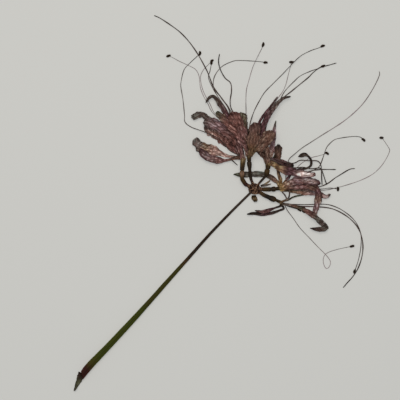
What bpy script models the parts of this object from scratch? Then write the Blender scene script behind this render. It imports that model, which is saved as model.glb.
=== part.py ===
"""A red spider lily, dried and pressed: a cut scape with an umbel of five florets, lying flat on a surface.

Metres, +Z up, the surface at Z = 0. Each floret is a pedicel with its ovary, a perianth of six tepals on a
short tube, and six stamens with one style. Pieces are laid one by one, each over what already lies there.
"""

import math
from collections import namedtuple

import bmesh
import bpy
import numpy as np
from mathutils import Matrix

MM = 0.001

# Driving dimensions
PIXEL = 0.6 * MM  # real size of one pixel of the photograph
PLAN_CENTRE = (231.9, 202.9)  # pixel that lies over the origin
GAP = 0.3 * MM  # clearance between neighbouring pieces
BLADE = 0.6 * MM  # thickness of a tepal or bract
CLAW = 2.4 * MM  # width of a tepal where it leaves the tube
NECK = 0.04  # share of its length over which it keeps that width
WAVE = 0.5 * MM  # height of the waves along a tepal's edges
WAVE_LENGTH = 8.4 * MM
RUFFLE = 0.09  # how much the width swings along the edges, as a share of it
RUFFLE_LENGTH = 9.1 * MM
UNDER_DROP = 1.45 * MM  # underside of the lower tepals, below the tube's axis
OVER_RISE = 0.85 * MM  # underside of the upper tepals, above the tube's axis
ROOT_DEPTH = 1.0 * MM  # how far the tepals are rooted inside the tube
COLUMN_RADIUS = 0.55 * MM  # stalk that the stamens of a floret share
COLUMN_LENGTH = 2.6 * MM
STRAND_RADIUS = 0.42 * MM  # filament or style at its foot
STRAND_TIP_RADIUS = 0.36 * MM
ANTHER = (3.2 * MM, 1.6 * MM, 1.1 * MM)  # length, width, height
UMBEL_BASE = (3.9 * MM, 3.6 * MM, 2.2 * MM)  # half sizes of the swollen top of the scape
SOCKET_REACH = 4.9 * MM  # from the umbel's centre to the foot of a pedicel
SOCKET_FLARE = 1.35  # how much wider than its pedicel a socket is inside the umbel
BRACT_ROOT = 3.5 * MM  # stretch where the strips of one bract may grow together
SCAPE_FLATNESS = 0.85  # height of the pressed scape as a share of its width
REST_ANGLE = 31  # degrees either side of straight down where the scape is flat underneath

# How a piece is laid over others
CELL = 0.3 * MM  # grid of the heights
FINE = 0.3 * MM  # spacing of the points where a piece is tested
SLOPE = 0.45  # steepest rise or fall along a piece
ROOT_SLOPE = 0.9  # the same where it leaves the throat
ROOT_LENGTH = 7.0 * MM  # stretch where the tepals of one floret may grow together
EASE = 1.2 * MM  # length over which its kinks are rounded
BLADE_STEP = 2.8 * MM  # spacing of a blade's rows
STRAND_STEP = 4.2 * MM  # spacing of a strand's points
ACROSS = 3  # faces across a blade
PLAN_LOW = np.array([-100.0, -118.0]) * MM
PLAN_HIGH = np.array([100.0, 118.0]) * MM

SCAPE_COLOUR = (0.105, 0.095, 0.030)
OVARY_COLOUR = (0.085, 0.060, 0.028)
TEPAL_COLOUR = (0.135, 0.062, 0.055)
STAMEN_COLOUR = (0.060, 0.045, 0.045)
BRACT_COLOUR = (0.120, 0.095, 0.055)

# A blade is a tepal or bract: its width, the share of its length where it is widest, how blunt its tip is,
# its plan points, its neck and its claw. A strand is a filament or style: the angle of its anther, or None,
# and its plan points. A floret has the height of its axis, the radii of its pedicel, its ovary and the mouth
# of its tube, their plan points, its lower and its upper tepals, and its strands.
Blade = namedtuple("Blade", "width widest_at blunt points neck claw", defaults=(NECK, CLAW))
Strand = namedtuple("Strand", "anther points")
Floret = namedtuple("Floret", "lift stalk girth mouth pedicel ovary throat under over strands")

# The scape from its cut end to the umbel, with its width
SCAPE = (
    ((80.8, 376.8), 4.3 * MM),
    ((89.7, 365.7), 4.6 * MM),
    ((109.7, 344.7), 4.0 * MM),
    ((130.0, 323.0), 3.6 * MM),
    ((150.0, 301.0), 3.0 * MM),
    ((169.8, 278.7), 2.6 * MM),
    ((189.6, 256.7), 2.1 * MM),
    ((209.6, 234.3), 1.8 * MM),
    ((230.0, 213.0), 1.6 * MM),
    ((248.4, 194.8), 1.5 * MM),
    ((254.0, 189.5), 1.8 * MM),
)
UMBEL_SPOT = (254.3, 189.0)
CUT_SLIVER = ((82.4, 373.0), (79.0, 380.4), (74.5, 390.5))  # strip of skin left hanging at the cut
SLIVER_WIDTHS = (5.0 * MM, 0.9 * MM)

BRACTS = {
    "spathe_bract_stub": (Blade(3.0 * MM, 0.55, 0.9, ((253.8, 195.2), (254.2, 198.0), (255.0, 201.0))),),
    "spathe_bract_split": (
        Blade(1.2 * MM, 0.5, 0.6, ((260.7, 186.0), (265.4, 184.0), (269.6, 180.8))),
        Blade(1.1 * MM, 0.5, 0.5, ((260.9, 186.2), (265.8, 185.4), (270.0, 184.2))),
    ),
}

FLORET_A = Floret(
    lift=3.2 * MM,
    stalk=1.25 * MM,
    girth=1.5 * MM,
    mouth=1.9 * MM,
    pedicel=((245.4, 184.2), (242.4, 179.6)),
    ovary=((241.9, 177.4), (242.0, 169.8)),
    throat=((242.0, 169.3), (243.2, 157.5)),
    under=(
        Blade(
            6.2 * MM, 0.80, 0.80,
            ((236, 157), (229, 156.4), (221, 153.8), (212, 150.2), (204, 148), (197.8, 145.2), (196, 138.8)),
            neck=0.26, claw=1.6 * MM,
        ),
        Blade(
            4.6 * MM, 0.80, 0.70,
            ((236, 158.6), (230, 159.6), (224, 160.6), (216, 160), (209, 157.8), (203.6, 154),
             (200.4, 149.5)),
            neck=0.28, claw=1.4 * MM,
        ),
        Blade(6.4 * MM, 0.72, 0.70, ((236.5, 151), (225.8, 141), (215.6, 133.8), (204.6, 127.2))),
        Blade(
            3.7 * MM, 0.88, 0.85,
            ((237, 144), (228, 131.5), (219, 124), (212, 120), (206.6, 117.6), (202, 114.8), (196.6, 115.8),
             (191.4, 118.4)),
            neck=0.68, claw=1.7 * MM,
        ),
    ),
    over=(
        Blade(6.8 * MM, 0.76, 0.70, ((239, 147), (231, 135), (219.5, 126), (204.4, 122))),
        Blade(
            3.2 * MM, 0.55, 0.40,
            ((239, 142), (231.4, 125), (224.6, 112), (219, 103.2), (215.6, 98.4), (212, 96.6), (208.6, 98.6),
             (206.4, 102.2)),
        ),
    ),
    strands=(
        Strand(
            None,
            ((240, 147), (236, 134), (231, 119), (228.2, 108), (221, 97.4), (214.8, 89), (212.4, 85),
             (208.7, 75), (205, 67), (197.8, 54.2), (189.5, 42.3), (180, 32.2), (170, 24.7),
             (160, 18.2), (154, 15.5)),
        ),
        Strand(
            80,
            ((236, 154), (230, 151), (223.5, 143.5), (218, 138), (211, 134.8), (203, 131.5), (191, 127),
             (185, 122), (184.5, 115), (183, 100), (181, 88), (181, 82), (184, 70), (190, 63), (197, 56.5),
             (200, 53.5)),
        ),
        Strand(
            20,
            ((239, 147), (230, 133), (220, 120), (212, 112), (208, 104), (204, 97), (200.5, 88), (199, 76),
             (195.6, 69.6), (190.4, 66.4), (180, 61.6), (172, 57.3), (168.5, 56)),
        ),
        Strand(
            90,
            ((240, 145), (234, 128), (228.4, 113), (220.4, 100.4), (213, 88.6), (208.5, 78), (210, 71),
             (211, 66), (211.5, 62.5)),
        ),
        Strand(
            0,
            ((241, 146), (236.4, 130), (230, 110), (220.2, 96.4), (213.8, 88), (214.3, 77), (221.4, 67),
             (232, 61.6), (240, 60.5), (258, 61.5), (265.5, 62.5)),
        ),
        Strand(
            45,
            ((239, 148), (231.5, 133), (222, 120.5), (214, 112.5), (210, 104), (206, 97), (202.2, 88),
             (200.5, 77.5), (203, 70.5), (208, 65), (211.8, 61)),
        ),
        Strand(None, ((238.5, 155.6), (234, 157), (231, 159), (233.8, 162), (237.6, 165.4))),
    ),
)

FLORET_B = Floret(
    lift=3.8 * MM,
    stalk=0.95 * MM,
    girth=1.5 * MM,
    mouth=1.75 * MM,
    pedicel=((250.6, 178.0), (249.6, 170.0)),
    ovary=((249.5, 167.6), (248.9, 160.6)),
    throat=((248.9, 160.1), (249.0, 154.5)),
    under=(
        Blade(5.8 * MM, 0.88, 1.0, ((247.6, 146), (244.6, 134), (242.6, 123), (241.4, 113))),
        Blade(6.6 * MM, 0.78, 0.85, ((253, 147), (257, 139), (259.5, 131), (260, 124.5))),
    ),
    over=(
        Blade(7.8 * MM, 0.86, 0.95, ((246.5, 146), (240.8, 134), (236, 123), (232.2, 112.8))),
        Blade(4.2 * MM, 0.84, 0.75, ((244.5, 147), (236, 134.5), (226.3, 123.3), (217, 112.8))),
        Blade(7.4 * MM, 0.74, 0.80, ((254, 149.5), (261.5, 144), (267, 138.5), (269.4, 131.5))),
        Blade(7.2 * MM, 0.72, 0.80, ((251.5, 145), (253.7, 136), (254.6, 129), (254.2, 123.5))),
    ),
    strands=(
        Strand(
            None,
            ((246, 143), (240, 128), (234, 114.5), (230.6, 107), (230.2, 100), (231.5, 91), (230.5, 83),
             (225, 78), (220.5, 70), (218.5, 62), (219.5, 54)),
        ),
        Strand(
            75,
            ((248.5, 140), (247, 125), (246, 112), (246.2, 92), (249, 80), (252.5, 68), (256.5, 59),
             (262, 48), (263.2, 44.8)),
        ),
        Strand(
            20,
            ((249.5, 140), (249.5, 127), (251, 120), (254.2, 111), (259.3, 101), (264.7, 92.3), (273.2, 83.5),
             (282.2, 74.5), (290, 66.3), (300, 56.5), (310, 51), (319, 47.8), (322.5, 46)),
        ),
        Strand(85, ((247, 147), (245, 141), (244.4, 136))),
        Strand(85, ((249.5, 146), (248.5, 140), (247.6, 134))),
        Strand(70, ((253, 147), (256, 140), (257.4, 134))),
        Strand(45, ((254.5, 151), (261, 147.5), (266, 144))),
    ),
)

FLORET_C = Floret(
    lift=3.0 * MM,
    stalk=0.75 * MM,
    girth=1.7 * MM,
    mouth=2.1 * MM,
    pedicel=((261.0, 181.0), (265.2, 176.4)),
    ovary=((266.2, 174.4), (267.6, 168.4)),
    throat=((267.7, 167.9), (268.2, 162.0)),
    under=(
        Blade(6.6 * MM, 0.74, 0.70, ((264, 155), (259, 148), (254.5, 139), (251.8, 127))),
        Blade(3.3 * MM, 0.50, 0.15, ((270.6, 155), (272.6, 143), (273.9, 131), (275.6, 121.8))),
        Blade(4.2 * MM, 0.80, 0.85, ((274, 160.5), (281, 163), (287, 165.2), (293, 166.2)), neck=0.2),
    ),
    over=(
        Blade(
            4.9 * MM, 0.52, 0.45,
            ((273, 165), (282, 169.5), (291, 172), (300, 173.8), (308, 175), (315, 174.4)),
        ),
        Blade(
            1.7 * MM, 0.40, 0.60,
            ((265, 152), (260, 141), (257.5, 130), (260, 121), (265, 113.5), (270.5, 106.5), (277, 97.5)),
        ),
        Blade(
            3.2 * MM, 0.55, 0.35,
            ((266.4, 150), (262.4, 138), (262.8, 127), (266.8, 118), (272.8, 109), (278.8, 102), (284, 98.2),
             (289.4, 97)),
        ),
    ),
    strands=(
        Strand(
            None,
            ((266.5, 148), (263, 135), (265, 123), (270.5, 113), (276.5, 104.5), (283.6, 97.4), (290.8, 91.8),
             (300.5, 83.9), (308.4, 77.4), (313.4, 72.3), (320, 67.6), (328, 65.4), (336.5, 63)),
        ),
        Strand(
            0,
            ((265.5, 148), (262, 134), (264, 121), (270.5, 110), (277, 99.5), (283, 91), (286, 84),
             (287.5, 78), (289, 72), (291, 64.5), (291.5, 62.2)),
        ),
        Strand(
            20,
            ((267.5, 149), (265, 134), (268, 121), (274, 110.5), (280, 100), (285, 91), (295, 80.5),
             (301, 75.5), (311, 71), (320, 68), (323, 66.3)),
        ),
        Strand(
            None,
            ((273.5, 158.6), (279, 160.6), (286, 163), (294, 163.2), (300, 160.4), (309, 160.8), (317, 161),
             (320.5, 164.5), (321.3, 172), (321.5, 178), (322, 185)),
        ),
        Strand(
            None,
            ((273, 159.6), (279, 163.2), (286, 167), (295, 168), (303, 167.3), (311, 168.8), (320, 168.2),
             (322.6, 173), (324.6, 179), (326.5, 184.5)),
        ),
        Strand(60, ((271, 158), (274.5, 156.8))),
        Strand(15, ((272.8, 160), (279, 165), (288, 170))),
    ),
)

FLORET_D = Floret(
    lift=1.8 * MM,
    stalk=1.3 * MM,
    girth=1.6 * MM,
    mouth=1.6 * MM,
    pedicel=((264.5, 189.4), (269.3, 189.4)),
    ovary=((271.0, 189.3), (276.6, 188.8)),
    throat=((277.1, 188.7), (281.6, 188.2)),
    under=(
        Blade(
            3.4 * MM, 0.78, 0.40,
            ((278.5, 183.6), (273.6, 179.4), (268, 175.8), (261, 174.3), (251, 174.2), (242, 174.9),
             (234.4, 174.6)),
        ),
        Blade(
            3.6 * MM, 0.60, 0.40,
            ((289.5, 189.8), (297, 191.2), (307, 192.2), (316, 193.2), (322, 195.6), (327, 196.6),
             (330, 193.6)),
        ),
        Blade(
            4.6 * MM, 0.86, 0.85,
            ((280.6, 181), (278.6, 174), (277.6, 165), (277.6, 156), (278.4, 145)),
            neck=0.5, claw=2.0 * MM,
        ),
    ),
    over=(
        Blade(
            4.1 * MM, 0.75, 0.55,
            ((292, 187.2), (303, 186.2), (312, 186.6), (317.3, 191.5), (317.6, 200), (315.8, 208),
             (314.2, 215.5)),
        ),
        Blade(4.8 * MM, 0.60, 0.50, ((289, 183.5), (296, 180.5), (303, 180), (311, 181.4), (319, 183.6))),
        Blade(
            2.4 * MM, 0.94, 0.40,
            ((286.5, 179.5), (291, 173.8), (298, 170), (305.6, 168.6), (310.4, 165.6), (310.6, 160.4),
             (308, 156.6), (304, 154.8), (298.8, 156.6)),
            neck=0.82, claw=1.35 * MM,
        ),
    ),
    strands=(
        Strand(
            None,
            ((285.5, 180), (286.2, 170), (288.5, 160), (294, 154.5), (302, 148), (312, 141.5), (323, 134.5),
             (335, 127), (346, 119.5), (357.5, 109.5), (365, 101), (371, 92), (376.5, 82), (379.5, 74.5),
             (379, 71)),
        ),
        Strand(
            -40,
            ((290, 182.5), (303, 175), (313, 170.5), (319.5, 166), (323, 157.5), (325.5, 150), (328, 145.5),
             (334, 140), (341, 138), (353, 136.5), (360, 137), (363.5, 139.8)),
        ),
        Strand(-30, ((288, 181), (294, 171), (302, 163), (311, 157.8), (320, 155.5), (327, 153.2))),
        Strand(
            0,
            ((292, 190), (302, 190.6), (312, 191.2), (322, 190.5), (330, 189.2), (337, 187.6), (345, 185.5),
             (360, 180.5), (372, 174.5), (380, 167.5), (386, 159), (389.6, 151), (388.5, 147.5), (383.5, 140),
             (381.4, 137.8)),
        ),
        Strand(90, ((291, 188), (303, 188.6), (313, 189.3), (322, 189), (330, 188), (338, 189))),
        Strand(
            None,
            ((290, 186), (304, 185), (317, 187), (327, 183.8), (335, 178), (340, 174.9), (349.4, 169.4),
             (355, 168.5)),
        ),
        Strand(None, ((289, 183), (298, 177), (309, 171.5), (320, 169.6), (336, 169.5))),
    ),
)

FLORET_E = Floret(
    lift=1.9 * MM,
    stalk=1.25 * MM,
    girth=1.75 * MM,
    mouth=1.35 * MM,
    pedicel=((264.0, 195.2), (267.4, 196.7)),
    ovary=((269.2, 197.5), (276.2, 200.3)),
    throat=((276.7, 200.5), (282.6, 203.2)),
    under=(
        Blade(
            2.3 * MM, 0.66, 0.60,
            ((283.8, 208), (279, 210.6), (271, 213.2), (262, 214), (254, 213.4), (248, 214)),
            neck=0.3, claw=1.3 * MM,
        ),
        Blade(
            2.1 * MM, 0.64, 0.35,
            ((281, 205.6), (275, 207.8), (268, 210.4), (262, 211.6), (255.5, 210.6)),
            neck=0.35, claw=1.2 * MM,
        ),
        Blade(1.0 * MM, 0.40, 0.60, ((287.5, 200.5), (292, 197.6), (297, 196), (303, 195), (308, 193.5))),
    ),
    over=(
        Blade(
            3.2 * MM, 0.80, 0.90,
            ((292, 205.4), (303, 209.2), (313.4, 215.8), (321.4, 222.8), (327.6, 227.6)),
            neck=0.24, claw=1.5 * MM,
        ),
        Blade(1.0 * MM, 0.40, 0.60, ((286.2, 199.5), (284.6, 195.4), (281.6, 192))),
        Blade(1.0 * MM, 0.40, 0.60, ((287.3, 199.5), (289, 194.5), (288.8, 190.4))),
    ),
    strands=(
        Strand(
            None,
            ((292, 205.3), (304, 206.4), (316, 206.7), (330, 208.2), (341, 212.6), (351, 219.6),
             (357.8, 227.6), (361.4, 236), (362.9, 247), (361.4, 258.6), (357.6, 269), (352.6, 276.8),
             (347, 283), (343, 287.8)),
        ),
        Strand(
            75,
            ((293, 204.4), (306, 204.6), (320, 204.2), (329, 204.8), (339, 208.4), (347.6, 214),
             (354.4, 220.4), (358.8, 227.8), (361, 236), (360.8, 247), (358.6, 259), (355.6, 268.5),
             (354.4, 271.4)),
        ),
        Strand(
            15,
            ((287, 210), (293, 218), (300, 228), (309, 237.5), (318, 247), (326, 255), (330.4, 261.6),
             (329, 267), (326, 268.4), (323.4, 263), (323.8, 256.6), (328, 252.5), (338, 249.2),
             (352, 246.2)),
        ),
        Strand(-35, ((291, 206.6), (300, 209.6), (308.6, 213.8))),
        Strand(-25, ((289, 205.4), (297, 208), (304, 211.6))),
        Strand(-30, ((288, 206.2), (294, 208.2), (299.4, 209.8))),
        Strand(-15, ((289.5, 204.4), (296, 205.2), (303, 207.6))),
    ),
)

# The right tepal of floret e is folded back over its own end
FOLD_SPOT = (327.6, 226.8)
FOLD = Blade(3.0 * MM, 0.45, 0.20, ((323.2, 228.8), (317.0, 229.2), (310.5, 228.2)))
FOLD_ROOT = 1.5 * MM

FLORETS = {"a": FLORET_A, "b": FLORET_B, "c": FLORET_C, "d": FLORET_D, "e": FLORET_E}
UNDER_ORDER = "edcab"  # which floret's lower tepals and stamens are laid first
OVER_ORDER = "decab"


def plan(point):
    """Metres in plan of a pixel of the photograph."""
    return np.array([(point[0] - PLAN_CENTRE[0]) * PIXEL, (PLAN_CENTRE[1] - point[1]) * PIXEL])


def smooth_path(corners, spacing):
    """Evenly spaced points on a smooth curve through the corners, and how far along each lies."""
    ends = np.vstack([2 * corners[0] - corners[1], corners, 2 * corners[-1] - corners[-2]])
    share = np.linspace(0, 1, 20, endpoint=False)[:, None]
    dense = []
    for a, b, c, d in zip(ends, ends[1:], ends[2:], ends[3:]):
        square = 2 * a - 5 * b + 4 * c - d
        cube = 3 * b - a - 3 * c + d
        dense.append(b + 0.5 * ((c - a) * share + square * share**2 + cube * share**3))
    dense = np.vstack([*dense, corners[-1:]])
    run = np.concatenate([[0], np.cumsum(np.linalg.norm(np.diff(dense, axis=0), axis=1))])
    along = np.linspace(0, run[-1], max(3, math.ceil(run[-1] / spacing) + 1))
    return np.column_stack([np.interp(along, run, axis) for axis in dense.T]), along


def sideways(path):
    """Unit vectors to the left of the path."""
    ahead = np.gradient(path, axis=0)
    ahead /= np.linalg.norm(ahead, axis=1)[:, None]
    return np.column_stack([-ahead[:, 1], ahead[:, 0]])


def bend_radius(path, along):
    ahead = np.gradient(path, along, axis=0)
    turn = np.gradient(ahead, along, axis=0)
    bend = np.abs(ahead[:, 0] * turn[:, 1] - ahead[:, 1] * turn[:, 0])
    return 1 / np.maximum(bend, 1)


def ease_in(share):
    share = np.clip(share, 0, 1)
    return share * share * (3 - 2 * share)


def blade_widths(along, shape):
    """Width of a tepal: a narrow claw, then widening, with ruffled edges and a blunt or a pointed tip."""
    share = along / along[-1]
    claw = min(shape.claw, 0.8 * shape.width)
    opening = 0.7 * (shape.widest_at - shape.neck)
    grown = claw + (shape.width - claw) * ease_in((share - shape.neck) / opening)
    past = np.clip((share - shape.widest_at) / (1 - shape.widest_at), 0, 1)
    tapered = grown * (1 - (1 - shape.blunt) * past**2 - 0.25 * shape.blunt * past**6)
    turns = along / RUFFLE_LENGTH + shape.width / MM
    ruffled = tapered * (1 + RUFFLE * np.sin(2 * math.pi * turns))
    return np.maximum(ruffled, 0.8 * MM)


def edge_wave(along, side, widths):
    """How far a blade rises at a share of its half width, in waves along each edge."""
    phase = 2 * math.pi * along / WAVE_LENGTH + np.where(side > 0, 0, 2.2)
    return WAVE * np.minimum(1, widths / (4 * MM)) * side**2 * (0.5 + 0.5 * np.sin(phase))


class Pile:
    """The height of what has been laid, over a grid of the plan, kept for each node."""

    def __init__(self):
        self.shape = tuple(np.ceil((PLAN_HIGH - PLAN_LOW) / CELL).astype(int))
        self.tops = {}

    def cells(self, points):
        return np.floor((points - PLAN_LOW) / CELL).astype(int).T

    def clear_of(self, points, but=None):
        """Lowest underside at each point that clears every node but one."""
        column, row = self.cells(points)
        lowest = np.zeros(len(points))
        for node, top in self.tops.items():
            if node != but:
                lowest = np.maximum(lowest, top[column, row] + GAP)
        return lowest

    def cover(self, node, points, heights):
        top = self.tops.setdefault(node, np.full(self.shape, -GAP))
        column, row = self.cells(points)
        for right in (-1, 0, 1):
            for up in (-1, 0, 1):
                np.maximum.at(top, (column + right, row + up), heights)


def spread(path, widths):
    """Points all over a strip in plan, the path point that each belongs to, and its side from -1 to 1."""
    count = max(3, math.ceil(widths.max() / CELL) + 1)
    side = np.tile(np.linspace(-1, 1, count), len(path))
    owner = np.repeat(np.arange(len(path)), count)
    points = path[owner] + sideways(path)[owner] * (side * widths[owner] / 2)[:, None]
    return points, owner, side


def underside(pile, node, path, along, widths, root, root_height, margin):
    """Height of a strip along its path: as low as it can lie, clear of what is below, with soft bends."""
    points, owner, _ = spread(path, widths)
    needed = np.where(along[owner] < root, pile.clear_of(points, but=node), pile.clear_of(points))
    floor = np.zeros(len(path))
    np.maximum.at(floor, owner, needed)
    floor[0] = max(floor[0], root_height)
    spacing = along[1]
    reach = round((EASE + margin) / spacing)
    high = np.array([floor[max(0, i - reach) : i + reach + 1].max() for i in range(len(floor))])
    high[:reach] = np.maximum.accumulate(floor)[: len(high[:reach])]
    fall = np.where(along < ROOT_LENGTH, ROOT_SLOPE, SLOPE) * spacing
    for i in range(1, len(high)):
        high[i] = max(high[i], high[i - 1] - fall[i])
    for i in range(len(high) - 2, -1, -1):
        high[i] = max(high[i], high[i + 1] - fall[i])
    ease = round(EASE / spacing)
    return np.array([high[max(0, i - ease) : i + ease + 1].mean() for i in range(len(high))])


def link(obj):
    bpy.context.scene.collection.objects.link(obj)
    return obj


def mesh_object(name, form):
    """An object that holds what has been built in a bmesh."""
    mesh = bpy.data.meshes.new(name)
    form.to_mesh(mesh)
    form.free()
    return link(bpy.data.objects.new(name, mesh))


def as_mesh(obj, weld=True):
    """The object as a plain mesh object, its modifiers applied and the caps of a curve welded."""
    bpy.context.view_layer.update()
    evaluated = obj.evaluated_get(bpy.context.evaluated_depsgraph_get())
    mesh = bpy.data.meshes.new_from_object(evaluated)
    mesh.transform(obj.matrix_world)
    if weld:
        form = bmesh.new()
        form.from_mesh(mesh)
        bmesh.ops.remove_doubles(form, verts=form.verts, dist=0.001 * MM)
        bmesh.ops.recalc_face_normals(form, faces=form.faces)
        form.to_mesh(mesh)
        form.free()
    name = obj.name
    bpy.data.objects.remove(obj)
    return link(bpy.data.objects.new(name, mesh))


def tube(points, radii, bevel=0):
    """A closed tube through 3D points, with its own radius at each and 4 + 2 * bevel sides."""
    curve = bpy.data.curves.new("tube", "CURVE")
    curve.dimensions = "3D"
    curve.twist_mode = "Z_UP"
    curve.bevel_depth = MM
    curve.bevel_resolution = bevel
    curve.use_fill_caps = True
    spline = curve.splines.new("POLY")
    spline.points.add(len(points) - 1)
    for knot, point, radius in zip(spline.points, points, radii):
        knot.co = (*point, 1)
        knot.radius = radius / MM
    return as_mesh(link(bpy.data.objects.new("tube", curve)))


def ellipsoid(matrix, segments, rings):
    form = bmesh.new()
    bmesh.ops.create_uvsphere(form, u_segments=segments, v_segments=rings, radius=1)
    bmesh.ops.transform(form, matrix=matrix, verts=form.verts)
    return mesh_object("ellipsoid", form)


def blade_solid(path, along, widths, heights):
    """A thin tepal or bract above its underside, with waves that rise along its edges."""
    form = bmesh.new()
    bmesh.ops.create_grid(form, x_segments=len(path) - 1, y_segments=ACROSS, size=0.5)
    left = sideways(path)
    for vertex in form.verts:
        row = round((vertex.co.x + 0.5) * (len(path) - 1))
        side = 2 * vertex.co.y
        place = path[row] + left[row] * side * widths[row] / 2
        vertex.co = (*place, heights[row] + edge_wave(along[row], side, widths[row]))
    bmesh.ops.triangulate(form, faces=form.faces, quad_method="FIXED")
    obj = mesh_object("blade", form)
    skin = obj.modifiers.new("thickness", "SOLIDIFY")
    skin.thickness = BLADE
    skin.offset = 1
    return as_mesh(obj)


def lay_blade(pile, node, shape, start, root, root_height):
    """Lays one tepal, from a start point in plan, and returns its solid."""
    corners = np.array([start, *(plan(point) for point in shape.points)])
    path, along = smooth_path(corners, FINE)
    widths = np.minimum(blade_widths(along, shape), 1.6 * bend_radius(path, along))
    rows, stations = smooth_path(corners, BLADE_STEP)
    lowest = underside(pile, node, path, along, widths, root, root_height, BLADE_STEP / 2)
    heights = np.interp(stations, along, lowest)
    points, owner, side = spread(path, widths)
    tops = np.interp(along, stations, heights) + 1.1 * BLADE
    pile.cover(node, points, tops[owner] + edge_wave(along[owner], side, widths[owner]))
    return blade_solid(rows, stations, np.interp(stations, along, widths), heights)


def lay_strand(pile, node, shape, start, root_height):
    """Lays one filament or style, with its anther if it has one, and returns its solids."""
    corners = np.array([start, *(plan(point) for point in shape.points)])
    path, along = smooth_path(corners, FINE)
    radii = np.interp(along, (0, along[-1]), (STRAND_RADIUS, STRAND_TIP_RADIUS))
    lowest = underside(pile, node, path, along, 2 * radii, math.inf, root_height, STRAND_STEP / 2)
    knots, stations = smooth_path(corners, STRAND_STEP)
    heights = np.interp(stations, along, lowest)
    radius = np.interp(stations, along, radii)
    points, owner, _ = spread(path, 2 * radii)
    tops = np.interp(along, stations, heights) + 2 * radii
    pile.cover(node, points, tops[owner])
    solids = [tube(np.column_stack([knots, heights + radius]), radius)]
    if shape.anther is not None:
        solids.append(lay_anther(pile, node, path[-1], math.radians(shape.anther), heights[-1]))
    return solids


def lay_anther(pile, node, spot, angle, height):
    """A small grain across the filament's tip."""
    length, width, thick = ANTHER
    reach = np.linspace(-length / 2, length / 2, 9)
    row = spot + reach[:, None] * np.array([math.cos(angle), math.sin(angle)])
    points, _, _ = spread(row, np.full(len(row), width))
    height = max(height, pile.clear_of(points, but=node).max())
    pile.cover(node, points, np.full(len(points), height + thick))
    place = Matrix.Translation((*spot, height + thick / 2)) @ Matrix.Rotation(angle, 4, "Z")
    shape = Matrix.Diagonal((length / 2, width / 2, thick / 2, 1))
    return ellipsoid(place @ shape @ Matrix.Rotation(math.pi / 2, 4, "Y"), 5, 4)


def lay_tube(pile, node, points, radii, bevel):
    """A stiff tube that others are laid over."""
    for first, second, start, end in zip(points, points[1:], radii, radii[1:]):
        share = np.linspace(0, 1, 12)
        line = first[:2] + share[:, None] * (second[:2] - first[:2])
        widths = 2 * (start + share * (end - start))
        spots, owner, _ = spread(line, widths)
        tops = first[2] + share * (second[2] - first[2]) + widths / 2
        pile.cover(node, spots, tops[owner])
    return tube(points, radii, bevel)


def keep_largest_shell(mesh):
    """Drops scraps and sealed hollows: only the biggest closed shell stays."""
    form = bmesh.new()
    form.from_mesh(mesh)
    waiting = set(form.verts)
    shells = []
    while waiting:
        seed = waiting.pop()
        shell = [seed]
        reached = [seed]
        while reached:
            neighbours = {vertex for edge in reached.pop().link_edges for vertex in edge.verts} & waiting
            waiting -= neighbours
            shell += neighbours
            reached += neighbours
        shells.append(shell)
    shells.sort(key=len)
    for shell in shells[:-1]:
        bmesh.ops.delete(form, geom=shell, context="VERTS")
    form.to_mesh(mesh)
    form.free()


def fuse(name, solids, material, collection):
    """Joins the solids of one node into one body."""
    body, *others = solids
    if others:
        helpers = bpy.data.collections.new("helpers")
        bpy.context.scene.collection.children.link(helpers)
        for other in others:
            bpy.context.scene.collection.objects.unlink(other)
            helpers.objects.link(other)
        join = body.modifiers.new("join", "BOOLEAN")
        join.operation = "UNION"
        join.operand_type = "COLLECTION"
        join.collection = helpers
        join.solver = "MANIFOLD"
        body = as_mesh(body, weld=False)
        for other in others:
            bpy.data.objects.remove(other)
        bpy.data.collections.remove(helpers)
    keep_largest_shell(body.data)
    bpy.context.scene.collection.objects.unlink(body)
    collection.objects.link(body)
    body.name = name
    body.data.materials.clear()
    body.data.materials.append(material)
    body.data.shade_smooth()
    body.data.set_sharp_from_angle(angle=math.radians(40))


def matte(name, colour, roughness):
    material = bpy.data.materials.new(name)
    material.use_nodes = True
    shader = material.node_tree.nodes["Principled BSDF"]
    shader.inputs["Base Color"].default_value = (*colour, 1)
    shader.inputs["Roughness"].default_value = roughness
    shader.inputs["Metallic"].default_value = 0
    return material


def pedicel_way(floret):
    """Direction in which a pedicel leaves the umbel, and its foot."""
    centre = plan(UMBEL_SPOT)
    ahead = plan(floret.pedicel[0]) - centre
    ahead /= np.linalg.norm(ahead)
    return ahead, centre + ahead * SOCKET_REACH


def make_stalk(pile):
    """The tapering scape, a little flattened, with a flat strip along its underside."""
    corners = np.array([plan(point) for point, _ in SCAPE])
    radii = np.array([width for _, width in SCAPE]) / 2
    path, _ = smooth_path(corners, FINE)
    widths = 2 * np.interp(path[:, 0], corners[:, 0], radii)
    points, owner, _ = spread(path, widths)
    pile.cover("scape", points, widths[owner])
    stalk = tube(np.column_stack([corners, radii]), radii, bevel=4)
    lowest = 1 - math.cos(math.radians(REST_ANGLE))
    for vertex in stalk.data.vertices:
        nearest = np.argmin(np.linalg.norm(corners - vertex.co.xy[:], axis=1))
        vertex.co.z = max(0, vertex.co.z - radii[nearest] * lowest) * SCAPE_FLATNESS
    return stalk


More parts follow.
